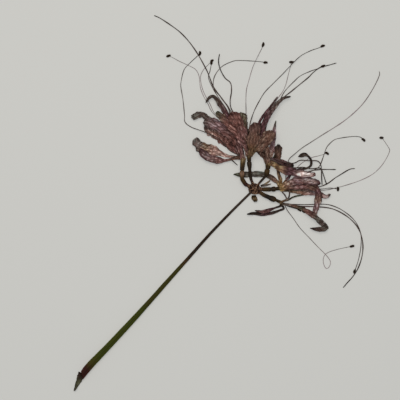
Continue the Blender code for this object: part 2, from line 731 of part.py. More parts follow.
def make_umbel_base(pile):
    """The swollen top of the scape, with a short socket towards each pedicel."""
    centre = plan(UMBEL_SPOT)
    middle = (*centre, UMBEL_BASE[2])
    solids = [ellipsoid(Matrix.Translation(middle) @ Matrix.Diagonal((*UMBEL_BASE, 1)), 12, 8)]
    for floret in FLORETS.values():
        ahead, foot = pedicel_way(floret)
        inside = centre + ahead * SOCKET_REACH / 2
        ends = np.column_stack([[inside, foot - ahead * GAP], [UMBEL_BASE[2]] * 2])
        solids.append(lay_tube(pile, "scape", ends, [SOCKET_FLARE * floret.stalk, floret.stalk], 2))
    share = np.linspace(-1, 1, 15)
    disc = np.array([(x, y) for x in share for y in share if x * x + y * y <= 1])
    pile.cover("scape", centre + disc * UMBEL_BASE[:2], np.full(len(disc), 2 * UMBEL_BASE[2]))
    return solids


def make_sliver():
    """The sliver of skin at the cut end of the scape."""
    rows, stations = smooth_path(np.array([plan(point) for point in CUT_SLIVER]), BLADE_STEP)
    widths = np.interp(stations, (0, stations[-1]), SLIVER_WIDTHS)
    return blade_solid(rows, stations, widths, np.zeros(len(rows)))


def lay_bract(pile, node, shapes):
    """One papery bract, of strips that are grown together at the foot."""
    solids = []
    for shape in shapes:
        foot, *points = shape.points
        solids.append(lay_blade(pile, node, shape._replace(points=points), plan(foot), BRACT_ROOT, 0))
    return solids


def make_pedicel(pile, letter, floret):
    """The stalk of a floret and its swollen ovary, which narrows to meet the perianth tube."""
    _, start = pedicel_way(floret)
    stalk = [start, *(plan(point) for point in floret.pedicel)]
    foot, head = (plan(point) for point in floret.ovary)
    places = [*stalk, foot, foot + 0.35 * (head - foot), foot + 0.75 * (head - foot), head]
    run = np.concatenate([[0], np.cumsum(np.linalg.norm(np.diff(places, axis=0), axis=1))])
    heights = np.interp(run, (run[1], run[len(stalk)]), (UMBEL_BASE[2], floret.lift))
    radii = [share * floret.stalk for share in (0.9, 1, 1.05)]
    radii += [share * floret.girth for share in (0.78, 1, 0.95, 0.75)]
    return [lay_tube(pile, f"pedicel_{letter}", np.column_stack([places, heights]), radii, 2)]


def make_perianth_tube(pile, letter, floret):
    """The short tube that carries the tepals."""
    foot, mouth = (plan(point) for point in floret.throat)
    places = [foot, (foot + mouth) / 2, mouth]
    points = np.column_stack([places, [floret.lift] * 3])
    radii = [share * floret.mouth for share in (0.75, 0.85, 1)]
    return [lay_tube(pile, f"perianth_{letter}", points, radii, 2)]


def throat_of(floret):
    """The mouth of the perianth tube and the direction in which it opens."""
    foot, mouth = (plan(point) for point in floret.throat)
    return mouth, (mouth - foot) / np.linalg.norm(mouth - foot)


def lay_tepals(pile, letter, floret, shapes, root_height):
    mouth, ahead = throat_of(floret)
    root = mouth - ahead * ROOT_DEPTH
    node = f"perianth_{letter}"
    return [lay_blade(pile, node, shape, root, ROOT_LENGTH, root_height) for shape in shapes]


def lay_stamens(pile, letter, floret):
    """The stamens and the style, which share a short column in the throat."""
    mouth, ahead = throat_of(floret)
    start = mouth + ahead * 1.2 * GAP
    node = f"stamens_{letter}"
    ends = np.column_stack([[start, start + ahead * COLUMN_LENGTH], [floret.lift] * 2])
    solids = [lay_tube(pile, node, ends, [COLUMN_RADIUS, 0.8 * COLUMN_RADIUS], 1)]
    foot = start + ahead * COLUMN_LENGTH / 3
    for shape in floret.strands:
        solids += lay_strand(pile, node, shape, foot, floret.lift - STRAND_RADIUS)
    return solids


def lay_flower():
    """Every node's solids, laid in the order in which they lie on each other."""
    pile = Pile()
    solids = {node: lay_bract(pile, node, shapes) for node, shapes in BRACTS.items()}
    solids["scape"] = [make_stalk(pile), *make_umbel_base(pile), make_sliver()]
    lowest_tepal = lay_tepals(pile, "d", FLORET_D, FLORET_D.under[:1], FLORET_D.lift - UNDER_DROP)
    for letter, floret in FLORETS.items():
        solids[f"pedicel_{letter}"] = make_pedicel(pile, letter, floret)
        solids[f"perianth_{letter}"] = make_perianth_tube(pile, letter, floret)
    solids["perianth_d"] += lowest_tepal
    for letter in UNDER_ORDER:
        floret = FLORETS[letter]
        shapes = floret.under[1:] if letter == "d" else floret.under
        solids[f"perianth_{letter}"] += lay_tepals(pile, letter, floret, shapes, floret.lift - UNDER_DROP)
    for letter in UNDER_ORDER:
        solids[f"stamens_{letter}"] = lay_stamens(pile, letter, FLORETS[letter])
    for letter in OVER_ORDER:
        floret = FLORETS[letter]
        solids[f"perianth_{letter}"] += lay_tepals(pile, letter, floret, floret.over, floret.lift + OVER_RISE)
    solids["perianth_e"].append(lay_blade(pile, "perianth_e", FOLD, plan(FOLD_SPOT), FOLD_ROOT, 0))
    return solids


def main():
    for obj in list(bpy.data.objects):
        bpy.data.objects.remove(obj)
    collection = bpy.data.collections.new("red_spider_lily")
    bpy.context.scene.collection.children.link(collection)
    looks = {
        "scape": ("scape", SCAPE_COLOUR, 0.6),
        "pedicel": ("ovary", OVARY_COLOUR, 0.7),
        "perianth": ("tepal", TEPAL_COLOUR, 0.75),
        "stamens": ("stamen", STAMEN_COLOUR, 0.6),
        "spathe": ("bract", BRACT_COLOUR, 0.8),
    }
    for node, solids in lay_flower().items():
        fuse(node, solids, matte(*looks[node.split("_")[0]]), collection)


main()
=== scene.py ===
"""The looks of a dried, pressed red spider lily: crinkled tepals, thin stamens, dark anthers, a ribbed scape.

Metres, +Z up, the surface at Z = 0. The plan and the order of laying are those of the construction, so each
fine piece lies where its solid lies.
"""

import math
from collections import namedtuple

import bpy
import numpy as np
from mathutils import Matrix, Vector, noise


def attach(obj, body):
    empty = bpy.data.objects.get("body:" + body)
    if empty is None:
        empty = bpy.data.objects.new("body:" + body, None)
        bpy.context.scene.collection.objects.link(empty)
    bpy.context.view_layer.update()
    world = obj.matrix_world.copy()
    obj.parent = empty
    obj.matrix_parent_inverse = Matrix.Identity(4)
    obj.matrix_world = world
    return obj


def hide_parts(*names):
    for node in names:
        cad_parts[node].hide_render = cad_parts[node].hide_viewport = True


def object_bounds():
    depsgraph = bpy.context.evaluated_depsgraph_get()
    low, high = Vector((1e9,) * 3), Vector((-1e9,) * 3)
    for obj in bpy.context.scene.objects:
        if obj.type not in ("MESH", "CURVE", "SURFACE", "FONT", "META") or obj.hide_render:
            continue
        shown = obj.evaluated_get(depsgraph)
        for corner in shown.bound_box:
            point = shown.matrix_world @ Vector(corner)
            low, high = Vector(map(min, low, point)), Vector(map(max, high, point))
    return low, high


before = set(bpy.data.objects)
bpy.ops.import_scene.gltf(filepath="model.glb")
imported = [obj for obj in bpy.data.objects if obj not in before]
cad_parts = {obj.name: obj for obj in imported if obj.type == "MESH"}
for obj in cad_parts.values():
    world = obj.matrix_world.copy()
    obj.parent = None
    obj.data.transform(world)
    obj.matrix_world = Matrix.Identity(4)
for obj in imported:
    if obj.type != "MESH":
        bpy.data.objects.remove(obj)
CAD_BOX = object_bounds()

MM = 0.001
UP = np.array([0.0, 0.0, 1.0])

# Driving dimensions, as in the construction
PIXEL = 0.6 * MM  # real size of one pixel of the photograph
PLAN_CENTRE = (231.9, 202.9)  # pixel that lies over the origin
GAP = 0.3 * MM  # clearance between neighbouring pieces
BLADE = 0.6 * MM  # thickness of a tepal or bract
CLAW = 2.4 * MM  # width of a tepal where it leaves the tube
NECK = 0.04  # share of its length over which it keeps that width
NARROWEST = 0.8 * MM
WIDEST_BEND = 1.6  # greatest width as a share of the radius of its path's bend
WAVE = 0.5 * MM  # height of the waves along a tepal's edges
WAVE_LENGTH = 8.4 * MM
WAVE_LAG = 2.2  # radians by which the right edge's waves lag
WAVE_WIDTH = 4 * MM  # width under which the waves of an edge get lower
RUFFLE = 0.09  # how much the width swings along the edges, as a share of it
RUFFLE_LENGTH = 9.1 * MM
UNDER_DROP = 1.45 * MM  # underside of the lower tepals, below the tube's axis
OVER_RISE = 0.85 * MM  # underside of the upper tepals, above the tube's axis
ROOT_DEPTH = 1.0 * MM  # how far the tepals are rooted inside the tube
COLUMN_RADIUS = 0.55 * MM  # stalk that the stamens of a floret share
COLUMN_LENGTH = 2.6 * MM
STRAND_RADIUS = 0.42 * MM  # filament or style at its foot
STRAND_TIP_RADIUS = 0.36 * MM
ANTHER = (3.2 * MM, 1.6 * MM, 1.1 * MM)  # length, width, height
UMBEL_BASE = (3.9 * MM, 3.6 * MM, 2.2 * MM)  # half sizes of the swollen top of the scape
SOCKET_REACH = 4.9 * MM  # from the umbel's centre to the foot of a pedicel
SOCKET_FLARE = 1.35  # how much wider than its pedicel a socket is inside the umbel
STALK_GIRTHS = (0.9, 1, 1.05)  # of a pedicel along its length, as shares of its radius
OVARY_GIRTHS = (0.78, 1, 0.95, 0.75)  # of its ovary
TUBE_GIRTHS = (0.75, 0.85, 1)  # of a perianth tube, as shares of its mouth's radius
BRACT_ROOT = 3.5 * MM  # stretch where the strips of one bract may grow together
FOLD_ROOT = 1.5 * MM  # the same for the folded end of a tepal
SCAPE_FLATNESS = 0.85  # height of the pressed scape as a share of its width
REST_ANGLE = 31  # degrees either side of straight down where the scape is flat underneath

# How a piece is laid over others, as in the construction
CELL = 0.3 * MM
FINE = 0.3 * MM
CURVE_POINTS = 20  # points of a smooth curve between two corners
SLOPE = 0.45
ROOT_SLOPE = 0.9
ROOT_LENGTH = 7.0 * MM
EASE = 1.2 * MM
BLADE_STEP = 2.8 * MM
BLADE_TOP = 1.1  # room that a blade takes as a share of its thickness
STRAND_STEP = 4.2 * MM
TUBE_ROWS = 12
PLAN_LOW = np.array([-100.0, -118.0]) * MM
PLAN_HIGH = np.array([100.0, 118.0]) * MM

# Fine sheets: tepals and bracts
SHEET = 0.16 * MM  # thickness
SHEET_ACROSS = 30  # faces across a tepal
SHEET_LOW = 0.10 * MM  # middle of the sheet above the underside of its solid
RELIEF = 0.48 * MM  # height of pleats and creases
CRISP = 0.5 * MM  # height of the fine waves along the edges
CRISP_LENGTH = 3.7 * MM
CRISP_DRIFT = 9 * MM  # length over which they drift
TIP_RISE = 1.1 * MM  # how far a free tip curls up
RISE_SLOPE = 0.6  # steepest start of such a rise
ROLL_TURN = 4.0  # radians that a rolled tip turns
ROOT_FADE = 6.0 * MM  # stretch over which the claws of a floret spread from their places round the throat
ROOT_SPREAD = 0.8 * MM
TIP_ROUND = 0.4  # length of a rounded tip as a share of its width
RAGGED = 0.11  # unevenness of the outline as a share of the half width
RAGGED_LENGTHS = (5 * MM, 4.3 * MM)  # along the left and the right edge
BUCKLE = 0.4 * MM  # slow rise and fall of a free tepal
BUCKLE_LENGTH = 13 * MM
SMALLEST_ROLL = 0.35 * MM
ROLL_ROOM = 0.45  # radius of a roll as a share of the height that is free
ROLL_NARROW = 0.5  # width at the end of a rolled tip as a share
TIP_RAGGED = 0.7 * MM  # unevenness of the tip
TIP_REACH = 4 * MM  # how far back from the tip that reaches
PALE_START = 0.48  # share of its length past which the middle of a thin tepal is pale
PALE_FADES = (0.2, 0.12)  # over which this comes and goes
EDGE_SHADE = 0.35  # painted shade: how much darker the edges are painted, where they curl and lie on other pieces
EDGE_DRIFT = 6 * MM
FOLDS = 8  # systems of creases, of which every second runs across
FOLD_LEAN = 0.24  # how far they lean from the tepal's own direction, in radians
CROSS_LEAN = (0.6, 1.3)  # how far those that run across lean
FOLD_PITCH = (1.5, 3.6)  # millimetres between creases
CROSS_PITCH = (2.2, 4.6)
FOLD_BEND = (1.6, 5.0)  # millimetres over which they wander
CREASE = 0.42  # half width of a crease in millimetres
CREASE_FADE = (1.2, 3.4)  # millimetres over which a crease comes and goes

# Fine strands: filaments, styles and anthers
FILAMENT = (0.30 * MM, 0.19 * MM)  # radius at the foot and the tip
STYLE = (0.36 * MM, 0.29 * MM)
FAINT = 0.7  # thickness of the palest filaments as a share of the others'
STRAND_SIDES = 8
STRAND_ROWS = 3  # fine points between rings
STRAND_SPREAD = 0.3 * MM  # how far the filaments stand apart in the throat
STRAND_JOIN = 9 * MM  # stretch over which they draw together
STRAND_FLAT = 0.15  # how flattened a strand is
STRAND_TWIST = 23 * MM  # length in which it twists once round
STRAND_UNEVEN = 0.12  # how much its thickness swings, as a share of it
STRAND_DRIFT = 11 * MM
STRANDS_ROUND = 7
THROAT_DEPTH = 1.6 * MM  # how deep in the throat the filaments start
ANTHER_RINGS = 14
ANTHER_SIDES = 16
GROOVE = 0.24  # depth of an anther's grooves as a share of its radius

# Stalks and tubes
STALK_SIDES = 32
STALK_STEP = 0.7 * MM
TUBE_STEP = 0.25 * MM
TUBE_SIDES = 30
WALL = 0.2 * MM  # thickness of the perianth tube
TUBE_LOBES = 0.07  # how much the six ribs of the tube stand out at its mouth, as a share of its radius
TUBE_FURROWS = 0.1  # depth of its wrinkles
MOUTH_LOBES = 0.45 * MM
OVARY_LOBES = 0.05  # how much the three lobes of an ovary stand out
OVARY_FURROWS = 0.07
THROAT_LEAD = 0.7 * MM  # how far a tube runs back into its ovary
PEDICEL_LEAD = 1.2 * MM  # how far a pedicel runs back into its socket
HEAD_RINGS = 17
HEAD_SIDES = 24
SOCKET_RINGS = 9
SOCKET_SIDES = 14
HEAD_VOXEL = 0.17 * MM
HEAD_WRINKLE = 1.1 * MM  # size of the wrinkles on the swollen top of the scape
HEAD_RELIEF = 0.55 * MM
RIB_DEPTH = 0.13  # depth of the furrows as a share of the scape's radius
RIB_COUNTS = {"stalk": (9, 7, 12), "ovary": (6, 10, 13), "throat": (6, 6, 14)}
RIB_DRIFT = 26 * MM  # length over which the ribs drift round a piece
SEEDS = {"stalk": 5, "ovary": 40, "throat": 60, "sliver": 3}  # where the random draws start
RIM_LIGHT = 1.8  # painted highlight: how much lighter the scape's sides are painted
CUT_ASKEW = 3.0 * MM  # how far the cut leans
CUT_REACH = 9.0 * MM

# Camera and light
PHOTO_SIDE = 400  # pixels
LENS = 150
SENSOR = 36
FLOOR_SIDE = 8.0
SKY = 0.43
LAMP_PLACE = (-0.06, 0.3, 0.95)
LAMP_SIDE = 0.8
LAMP_POWER = 8.8
LAMP_COLOUR = (1.0, 0.95, 0.86)
SKY_COLOUR = (0.83, 0.943, 1.0)
FLOOR_COLOUR = (194, 193, 190)
FLOOR_GLOW = 0.5  # share of the floor's brightness that is its own
FLOOR_LIGHT = 1.09  # how bright the light makes a white floor

# Points are pixels of the photograph, given as x, y, x, y and so on. A blade is a tepal or bract: its width,
# the share of its length where it is widest, how blunt its tip is, its points, its colours from base to tip,
# how strongly it is crumpled, the radius of its rolled tip in millimetres, how pale the thin middle of its
# outer half is, its neck and its claw.
Blade = namedtuple(
    "Blade", "width widest_at blunt points colours crumple roll pale neck claw", defaults=(0, 0, NECK, CLAW)
)
# A strand is a filament or style: the angle of its anther, or None, its points, and whether it is a pale one.
Strand = namedtuple("Strand", "anther points faint", defaults=(False,))
# A floret has the height of its axis, the radii of its pedicel, its ovary and the mouth of its tube, the
# points of these three, how many of its tepals are lower ones, its tepals, those first, and its strands.
Floret = namedtuple("Floret", "lift stalk girth mouth pedicel ovary throat lower tepals strands")

# The scape from its cut end to the umbel: points with its width in millimetres
SCAPE = (
    (80.8, 376.8, 4.3), (89.7, 365.7, 4.6), (109.7, 344.7, 4), (130, 323, 3.6), (150, 301, 3),
    (169.8, 278.7, 2.6), (189.6, 256.7, 2.1), (209.6, 234.3, 1.8), (230, 213, 1.6), (248.4, 194.8, 1.5),
    (254, 189.5, 1.8),
)
UMBEL_SPOT = (254.3, 189)
# The strip of skin left hanging at the cut
SLIVER = Blade(5 * MM, 0, 0, (82.4, 373, 79, 380.4, 74.5, 390.5), "wine soot moss moss slate", 0.8)
SLIVER_TIP = 0.9 * MM

BRACTS = {
    "spathe_bract_stub": (
        Blade(3 * MM, 0.55, 0.9, (253.8, 195.2, 254.2, 198, 255, 201), "bark bark khaki bark", 0.9),
    ),
    "spathe_bract_split": (
        Blade(1.2 * MM, 0.5, 0.6, (260.7, 186, 265.4, 184, 269.6, 180.8), "ink ash straw umber", 0.9),
        Blade(1.1 * MM, 0.5, 0.5, (260.9, 186.2, 265.8, 185.4, 270, 184.2), "ink ash ash umber", 0.9),
    ),
}

TEPALS_A = (
    Blade(6.2 * MM, 0.8, 0.8, (236, 157, 229, 156.4, 221, 153.8, 212, 150.2, 204, 148, 197.8, 145.2,
        196, 138.8), "umber umber rosy rosy rosy khaki ash ash", 0.7, pale=0.12, neck=0.26, claw=1.6 * MM),
    Blade(4.6 * MM, 0.8, 0.7, (236, 158.6, 230, 159.6, 224, 160.6, 216, 160, 209, 157.8, 203.6, 154,
        200.4, 149.5), "umber umber plum plum dusk dusk", 0.8, pale=0.15, neck=0.28, claw=1.4 * MM),
    Blade(6.4 * MM, 0.72, 0.7, (236.5, 151, 225.8, 141, 215.6, 133.8, 204.6, 127.2),
        "umber plum rust rust rosy ash", 1.25),
    Blade(3.7 * MM, 0.88, 0.85, (237, 144, 228, 131.5, 219, 124, 212, 120, 206.6, 117.6, 202, 114.8,
        196.6, 115.8, 191.4, 118.4), "umber plum umber ash ash slate", 1, roll=0.6, neck=0.68, claw=1.7 * MM),
    Blade(6.8 * MM, 0.76, 0.7, (239, 147, 231, 135, 219.5, 126, 204.4, 122),
        "umber plum rust plum mauve ash", 1.25),
    Blade(3.2 * MM, 0.55, 0.4, (239, 142, 231.4, 125, 224.6, 112, 219, 103.2, 215.6, 98.4, 212, 96.6,
        208.6, 98.6, 206.4, 102.2), "plum plum dusk dusk ash soot", 0.8),
)
STRANDS_A = (
    Strand(None, (240, 147, 236, 134, 231, 119, 228.2, 108, 221, 97.4, 214.8, 89, 212.4, 85, 208.7, 75,
        205, 67, 197.8, 54.2, 189.5, 42.3, 180, 32.2, 170, 24.7, 160, 18.2, 154, 15.5)),
    Strand(80, (236, 154, 230, 151, 223.5, 143.5, 218, 138, 211, 134.8, 203, 131.5, 191, 127, 185, 122,
        184.5, 115, 183, 100, 181, 88, 181, 82, 184, 70, 190, 63, 197, 56.5, 200, 53.5)),
    Strand(20, (239, 147, 230, 133, 220, 120, 212, 112, 208, 104, 204, 97, 200.5, 88, 199, 76, 195.6, 69.6,
        190.4, 66.4, 180, 61.6, 172, 57.3, 168.5, 56), True),
    Strand(90, (240, 145, 234, 128, 228.4, 113, 220.4, 100.4, 213, 88.6, 208.5, 78, 210, 71, 211, 66,
        211.5, 62.5)),
    Strand(0, (241, 146, 236.4, 130, 230, 110, 220.2, 96.4, 213.8, 88, 214.3, 77, 221.4, 67, 232, 61.6,
        240, 60.5, 258, 61.5, 265.5, 62.5)),
    Strand(45, (239, 148, 231.5, 133, 222, 120.5, 214, 112.5, 210, 104, 206, 97, 202.2, 88, 200.5, 77.5,
        203, 70.5, 208, 65, 211.8, 61), True),
    Strand(None, (238.5, 155.6, 234, 157, 231, 159, 233.8, 162, 237.6, 165.4)),
)

TEPALS_B = (
    Blade(5.8 * MM, 0.88, 1, (247.6, 146, 244.6, 134, 242.6, 123, 241.4, 113),
        "khaki umber umber umber sage sage", 1),
    Blade(6.6 * MM, 0.78, 0.85, (253, 147, 257, 139, 259.5, 131, 260, 124.5),
        "khaki umber umber cocoa cocoa", 1),
    Blade(7.8 * MM, 0.86, 0.95, (246.5, 146, 240.8, 134, 236, 123, 232.2, 112.8),
        "umber umber plum rust garnet", 1),
    Blade(4.2 * MM, 0.84, 0.75, (244.5, 147, 236, 134.5, 226.3, 123.3, 217, 112.8),
        "umber plum rust rust moss", 1.25),
    Blade(7.4 * MM, 0.74, 0.8, (254, 149.5, 261.5, 144, 267, 138.5, 269.4, 131.5),
        "khaki khaki umber umber umber umber", 1.25),
    Blade(7.2 * MM, 0.72, 0.8, (251.5, 145, 253.7, 136, 254.6, 129, 254.2, 123.5),
        "khaki khaki umber umber cocoa cocoa", 1.25),
)
STRANDS_B = (
    Strand(None, (246, 143, 240, 128, 234, 114.5, 230.6, 107, 230.2, 100, 231.5, 91, 230.5, 83, 225, 78,
        220.5, 70, 218.5, 62, 219.5, 54)),
    Strand(75, (248.5, 140, 247, 125, 246, 112, 246.2, 92, 249, 80, 252.5, 68, 256.5, 59, 262, 48,
        263.2, 44.8), True),
    Strand(20, (249.5, 140, 249.5, 127, 251, 120, 254.2, 111, 259.3, 101, 264.7, 92.3, 273.2, 83.5,
        282.2, 74.5, 290, 66.3, 300, 56.5, 310, 51, 319, 47.8, 322.5, 46)),
    Strand(85, (247, 147, 245, 141, 244.4, 136)),
    Strand(85, (249.5, 146, 248.5, 140, 247.6, 134)),
    Strand(70, (253, 147, 256, 140, 257.4, 134)),
    Strand(45, (254.5, 151, 261, 147.5, 266, 144)),
)

TEPALS_C = (
    Blade(6.6 * MM, 0.74, 0.7, (264, 155, 259, 148, 254.5, 139, 251.8, 127), "umber umber umber umber", 1),
    Blade(3.3 * MM, 0.5, 0.15, (270.6, 155, 272.6, 143, 273.9, 131, 275.6, 121.8),
        "umber fawn mauve mauve mauve moss", 0.6),
    Blade(4.2 * MM, 0.8, 0.85, (274, 160.5, 281, 163, 287, 165.2, 293, 166.2), "khaki umber dusk soot", 0.9,
        roll=1, neck=0.2),
    Blade(4.9 * MM, 0.52, 0.45, (273, 165, 282, 169.5, 291, 172, 300, 173.8, 308, 175, 315, 174.4),
        "khaki khaki dusk dusk dusk plum", 0.8, roll=0.9, pale=0.9),
    Blade(1.7 * MM, 0.4, 0.6, (265, 152, 260, 141, 257.5, 130, 260, 121, 265, 113.5, 270.5, 106.5,
        277, 97.5), "umber umber dusk dusk dusk ash", 0.6),
    Blade(3.2 * MM, 0.55, 0.35, (266.4, 150, 262.4, 138, 262.8, 127, 266.8, 118, 272.8, 109, 278.8, 102,
        284, 98.2, 289.4, 97), "umber umber dusk dusk ash soot", 0.8),
)
STRANDS_C = (
    Strand(None, (266.5, 148, 263, 135, 265, 123, 270.5, 113, 276.5, 104.5, 283.6, 97.4, 290.8, 91.8,
        300.5, 83.9, 308.4, 77.4, 313.4, 72.3, 320, 67.6, 328, 65.4, 336.5, 63)),
    Strand(0, (265.5, 148, 262, 134, 264, 121, 270.5, 110, 277, 99.5, 283, 91, 286, 84, 287.5, 78, 289, 72,
        291, 64.5, 291.5, 62.2), True),
    Strand(20, (267.5, 149, 265, 134, 268, 121, 274, 110.5, 280, 100, 285, 91, 295, 80.5, 301, 75.5, 311, 71,
        320, 68, 323, 66.3)),
    Strand(None, (273.5, 158.6, 279, 160.6, 286, 163, 294, 163.2, 300, 160.4, 309, 160.8, 317, 161,
        320.5, 164.5, 321.3, 172, 321.5, 178, 322, 185)),
    Strand(None, (273, 159.6, 279, 163.2, 286, 167, 295, 168, 303, 167.3, 311, 168.8, 320, 168.2, 322.6, 173,
        324.6, 179, 326.5, 184.5)),
    Strand(60, (271, 158, 274.5, 156.8)),
    Strand(15, (272.8, 160, 279, 165, 288, 170)),
)

TEPALS_D = (
    Blade(3.4 * MM, 0.78, 0.4, (278.5, 183.6, 273.6, 179.4, 268, 175.8, 261, 174.3, 251, 174.2, 242, 174.9,
        234.4, 174.6), "olive umber slate slate slate moss", 0.7),
    Blade(3.6 * MM, 0.6, 0.4, (289.5, 189.8, 297, 191.2, 307, 192.2, 316, 193.2, 322, 195.6, 327, 196.6,
        330, 193.6), "olive khaki fawn mauve plum ash", 0.9, roll=0.8, pale=0.4),
    Blade(4.6 * MM, 0.86, 0.85, (280.6, 181, 278.6, 174, 277.6, 165, 277.6, 156, 278.4, 145),
        "olive khaki umber umber soot", 0.9, roll=1.3, neck=0.5, claw=2 * MM),
    Blade(4.1 * MM, 0.75, 0.55, (292, 187.2, 303, 186.2, 312, 186.6, 317.3, 191.5, 317.6, 200, 315.8, 208,
        314.2, 215.5), "olive umber plum plum umber dusk umber mauve umber", 0.9),
    Blade(4.8 * MM, 0.6, 0.5, (289, 183.5, 296, 180.5, 303, 180, 311, 181.4, 319, 183.6),
        "olive fawn mauve plum dusk dusk", 1.1, pale=0.4),
    Blade(2.4 * MM, 0.94, 0.4, (286.5, 179.5, 291, 173.8, 298, 170, 305.6, 168.6, 310.4, 165.6, 310.6, 160.4,
        308, 156.6, 304, 154.8, 298.8, 156.6), "olive dusk soot soot soot soot", 0.6, neck=0.82,
        claw=1.35 * MM),
)
STRANDS_D = (
    Strand(None, (285.5, 180, 286.2, 170, 288.5, 160, 294, 154.5, 302, 148, 312, 141.5, 323, 134.5, 335, 127,
        346, 119.5, 357.5, 109.5, 365, 101, 371, 92, 376.5, 82, 379.5, 74.5, 379, 71), True),
    Strand(-40, (290, 182.5, 303, 175, 313, 170.5, 319.5, 166, 323, 157.5, 325.5, 150, 328, 145.5, 334, 140,
        341, 138, 353, 136.5, 360, 137, 363.5, 139.8)),
    Strand(-30, (288, 181, 294, 171, 302, 163, 311, 157.8, 320, 155.5, 327, 153.2), True),
    Strand(0, (292, 190, 302, 190.6, 312, 191.2, 322, 190.5, 330, 189.2, 337, 187.6, 345, 185.5, 360, 180.5,
        372, 174.5, 380, 167.5, 386, 159, 389.6, 151, 388.5, 147.5, 383.5, 140, 381.4, 137.8), True),
    Strand(90, (291, 188, 303, 188.6, 313, 189.3, 322, 189, 330, 188, 338, 189)),
    Strand(None, (290, 186, 304, 185, 317, 187, 327, 183.8, 335, 178, 340, 174.9, 349.4, 169.4, 355, 168.5)),
    Strand(None, (289, 183, 298, 177, 309, 171.5, 320, 169.6, 336, 169.5)),
)

TEPALS_E = (
    Blade(2.3 * MM, 0.66, 0.6, (283.8, 208, 279, 210.6, 271, 213.2, 262, 214, 254, 213.4, 248, 214),
        "soot soot soot dusk soot ink", 0.7, neck=0.3, claw=1.3 * MM),
    Blade(2.1 * MM, 0.64, 0.35, (281, 205.6, 275, 207.8, 268, 210.4, 262, 211.6, 255.5, 210.6),
        "soot soot dusk plum soot", 0.7, neck=0.35, claw=1.2 * MM),
    Blade(1 * MM, 0.4, 0.6, (287.5, 200.5, 292, 197.6, 297, 196, 303, 195, 308, 193.5),
        "khaki moss moss moss", 0.5),
    Blade(3.2 * MM, 0.8, 0.9, (292, 205.4, 303, 209.2, 313.4, 215.8, 321.4, 222.8, 327.6, 227.6),
        "bark ash umber moss rust cocoa slate ash soot", 0.6, neck=0.24, claw=1.5 * MM),
    Blade(1 * MM, 0.4, 0.6, (286.2, 199.5, 284.6, 195.4, 281.6, 192), "khaki ash ash", 0.5),
    Blade(1 * MM, 0.4, 0.6, (287.3, 199.5, 289, 194.5, 288.8, 190.4), "khaki ash ash", 0.5),
)
STRANDS_E = (
    Strand(None, (292, 205.3, 304, 206.4, 316, 206.7, 330, 208.2, 341, 212.6, 351, 219.6, 357.8, 227.6,
        361.4, 236, 362.9, 247, 361.4, 258.6, 357.6, 269, 352.6, 276.8, 347, 283, 343, 287.8)),
    Strand(75, (293, 204.4, 306, 204.6, 320, 204.2, 329, 204.8, 339, 208.4, 347.6, 214, 354.4, 220.4,
        358.8, 227.8, 361, 236, 360.8, 247, 358.6, 259, 355.6, 268.5, 354.4, 271.4)),
    Strand(15, (287, 210, 293, 218, 300, 228, 309, 237.5, 318, 247, 326, 255, 330.4, 261.6, 329, 267,
        326, 268.4, 323.4, 263, 323.8, 256.6, 328, 252.5, 338, 249.2, 352, 246.2), True),
    Strand(-35, (291, 206.6, 300, 209.6, 308.6, 213.8)),
    Strand(-25, (289, 205.4, 297, 208, 304, 211.6)),
    Strand(-30, (288, 206.2, 294, 208.2, 299.4, 209.8)),
    Strand(-15, (289.5, 204.4, 296, 205.2, 303, 207.6)),
)

FLORETS = {
    "a": Floret(
        3.2 * MM, 1.25 * MM, 1.5 * MM, 1.9 * MM, (245.4, 184.2, 242.4, 179.6),
        (241.9, 177.4, 242, 169.8), (242, 169.3, 243.2, 157.5), 4, TEPALS_A, STRANDS_A,
    ),
    "b": Floret(
        3.8 * MM, 0.95 * MM, 1.5 * MM, 1.75 * MM, (250.6, 178, 249.6, 170),
        (249.5, 167.6, 248.9, 160.6), (248.9, 160.1, 249, 154.5), 2, TEPALS_B, STRANDS_B,
    ),
    "c": Floret(
        3 * MM, 0.75 * MM, 1.7 * MM, 2.1 * MM, (261, 181, 265.2, 176.4),
        (266.2, 174.4, 267.6, 168.4), (267.7, 167.9, 268.2, 162), 3, TEPALS_C, STRANDS_C,
    ),
    "d": Floret(
        1.8 * MM, 1.3 * MM, 1.6 * MM, 1.6 * MM, (264.5, 189.4, 269.3, 189.4),
        (271, 189.3, 276.6, 188.8), (277.1, 188.7, 281.6, 188.2), 3, TEPALS_D, STRANDS_D,
    ),
    "e": Floret(
        1.9 * MM, 1.25 * MM, 1.75 * MM, 1.35 * MM, (264, 195.2, 267.4, 196.7),
        (269.2, 197.5, 276.2, 200.3), (276.7, 200.5, 282.6, 203.2), 3, TEPALS_E, STRANDS_E,
    ),
}

# The right tepal of floret e is folded back over its own end
FOLD = Blade(
    3 * MM, 0.45, 0.2, (327.6, 226.8, 323.2, 228.8, 317, 229.2, 310.5, 228.2), "slate brown soot", 0.7
)

UNDER_ORDER = "edcab"  # which floret's lower tepals and stamens are laid first
OVER_ORDER = "decab"

# Colours of the dried flower, from 0 to 255
PALETTE = {
    "olive": (134, 112, 72),
    "straw": (152, 132, 104),
    "khaki": (112, 92, 68),
    "umber": (101, 80, 70),
    "fawn": (138, 114, 102),
    "plum": (106, 79, 78),
    "mauve": (124, 104, 108),
    "rust": (106, 76, 71),
    "rosy": (150, 126, 119),
    "garnet": (86, 57, 53),
    "cocoa": (82, 62, 57),
    "sage": (98, 94, 80),
    "pitch": (18, 11, 5),
    "cream": (200, 188, 186),
    "dusk": (76, 52, 56),
    "slate": (80, 78, 72),
    "ash": (86, 78, 74),
    "soot": (46, 37, 32),
    "moss": (66, 68, 54),
    "green": (41, 47, 5),
    "leaf": (42, 42, 8),
    "bark": (48, 34, 14),
    "wine": (38, 15, 12),
    "ink": (31, 22, 14),
    "brown": (60, 47, 42),
    "grey": (84, 76, 73),
}
SCAPE_COLOURS = 2 * "wine " + "leaf " + 8 * "green " + 6 * "leaf " + "bark " + 7 * "ink " + 4 * "soot "
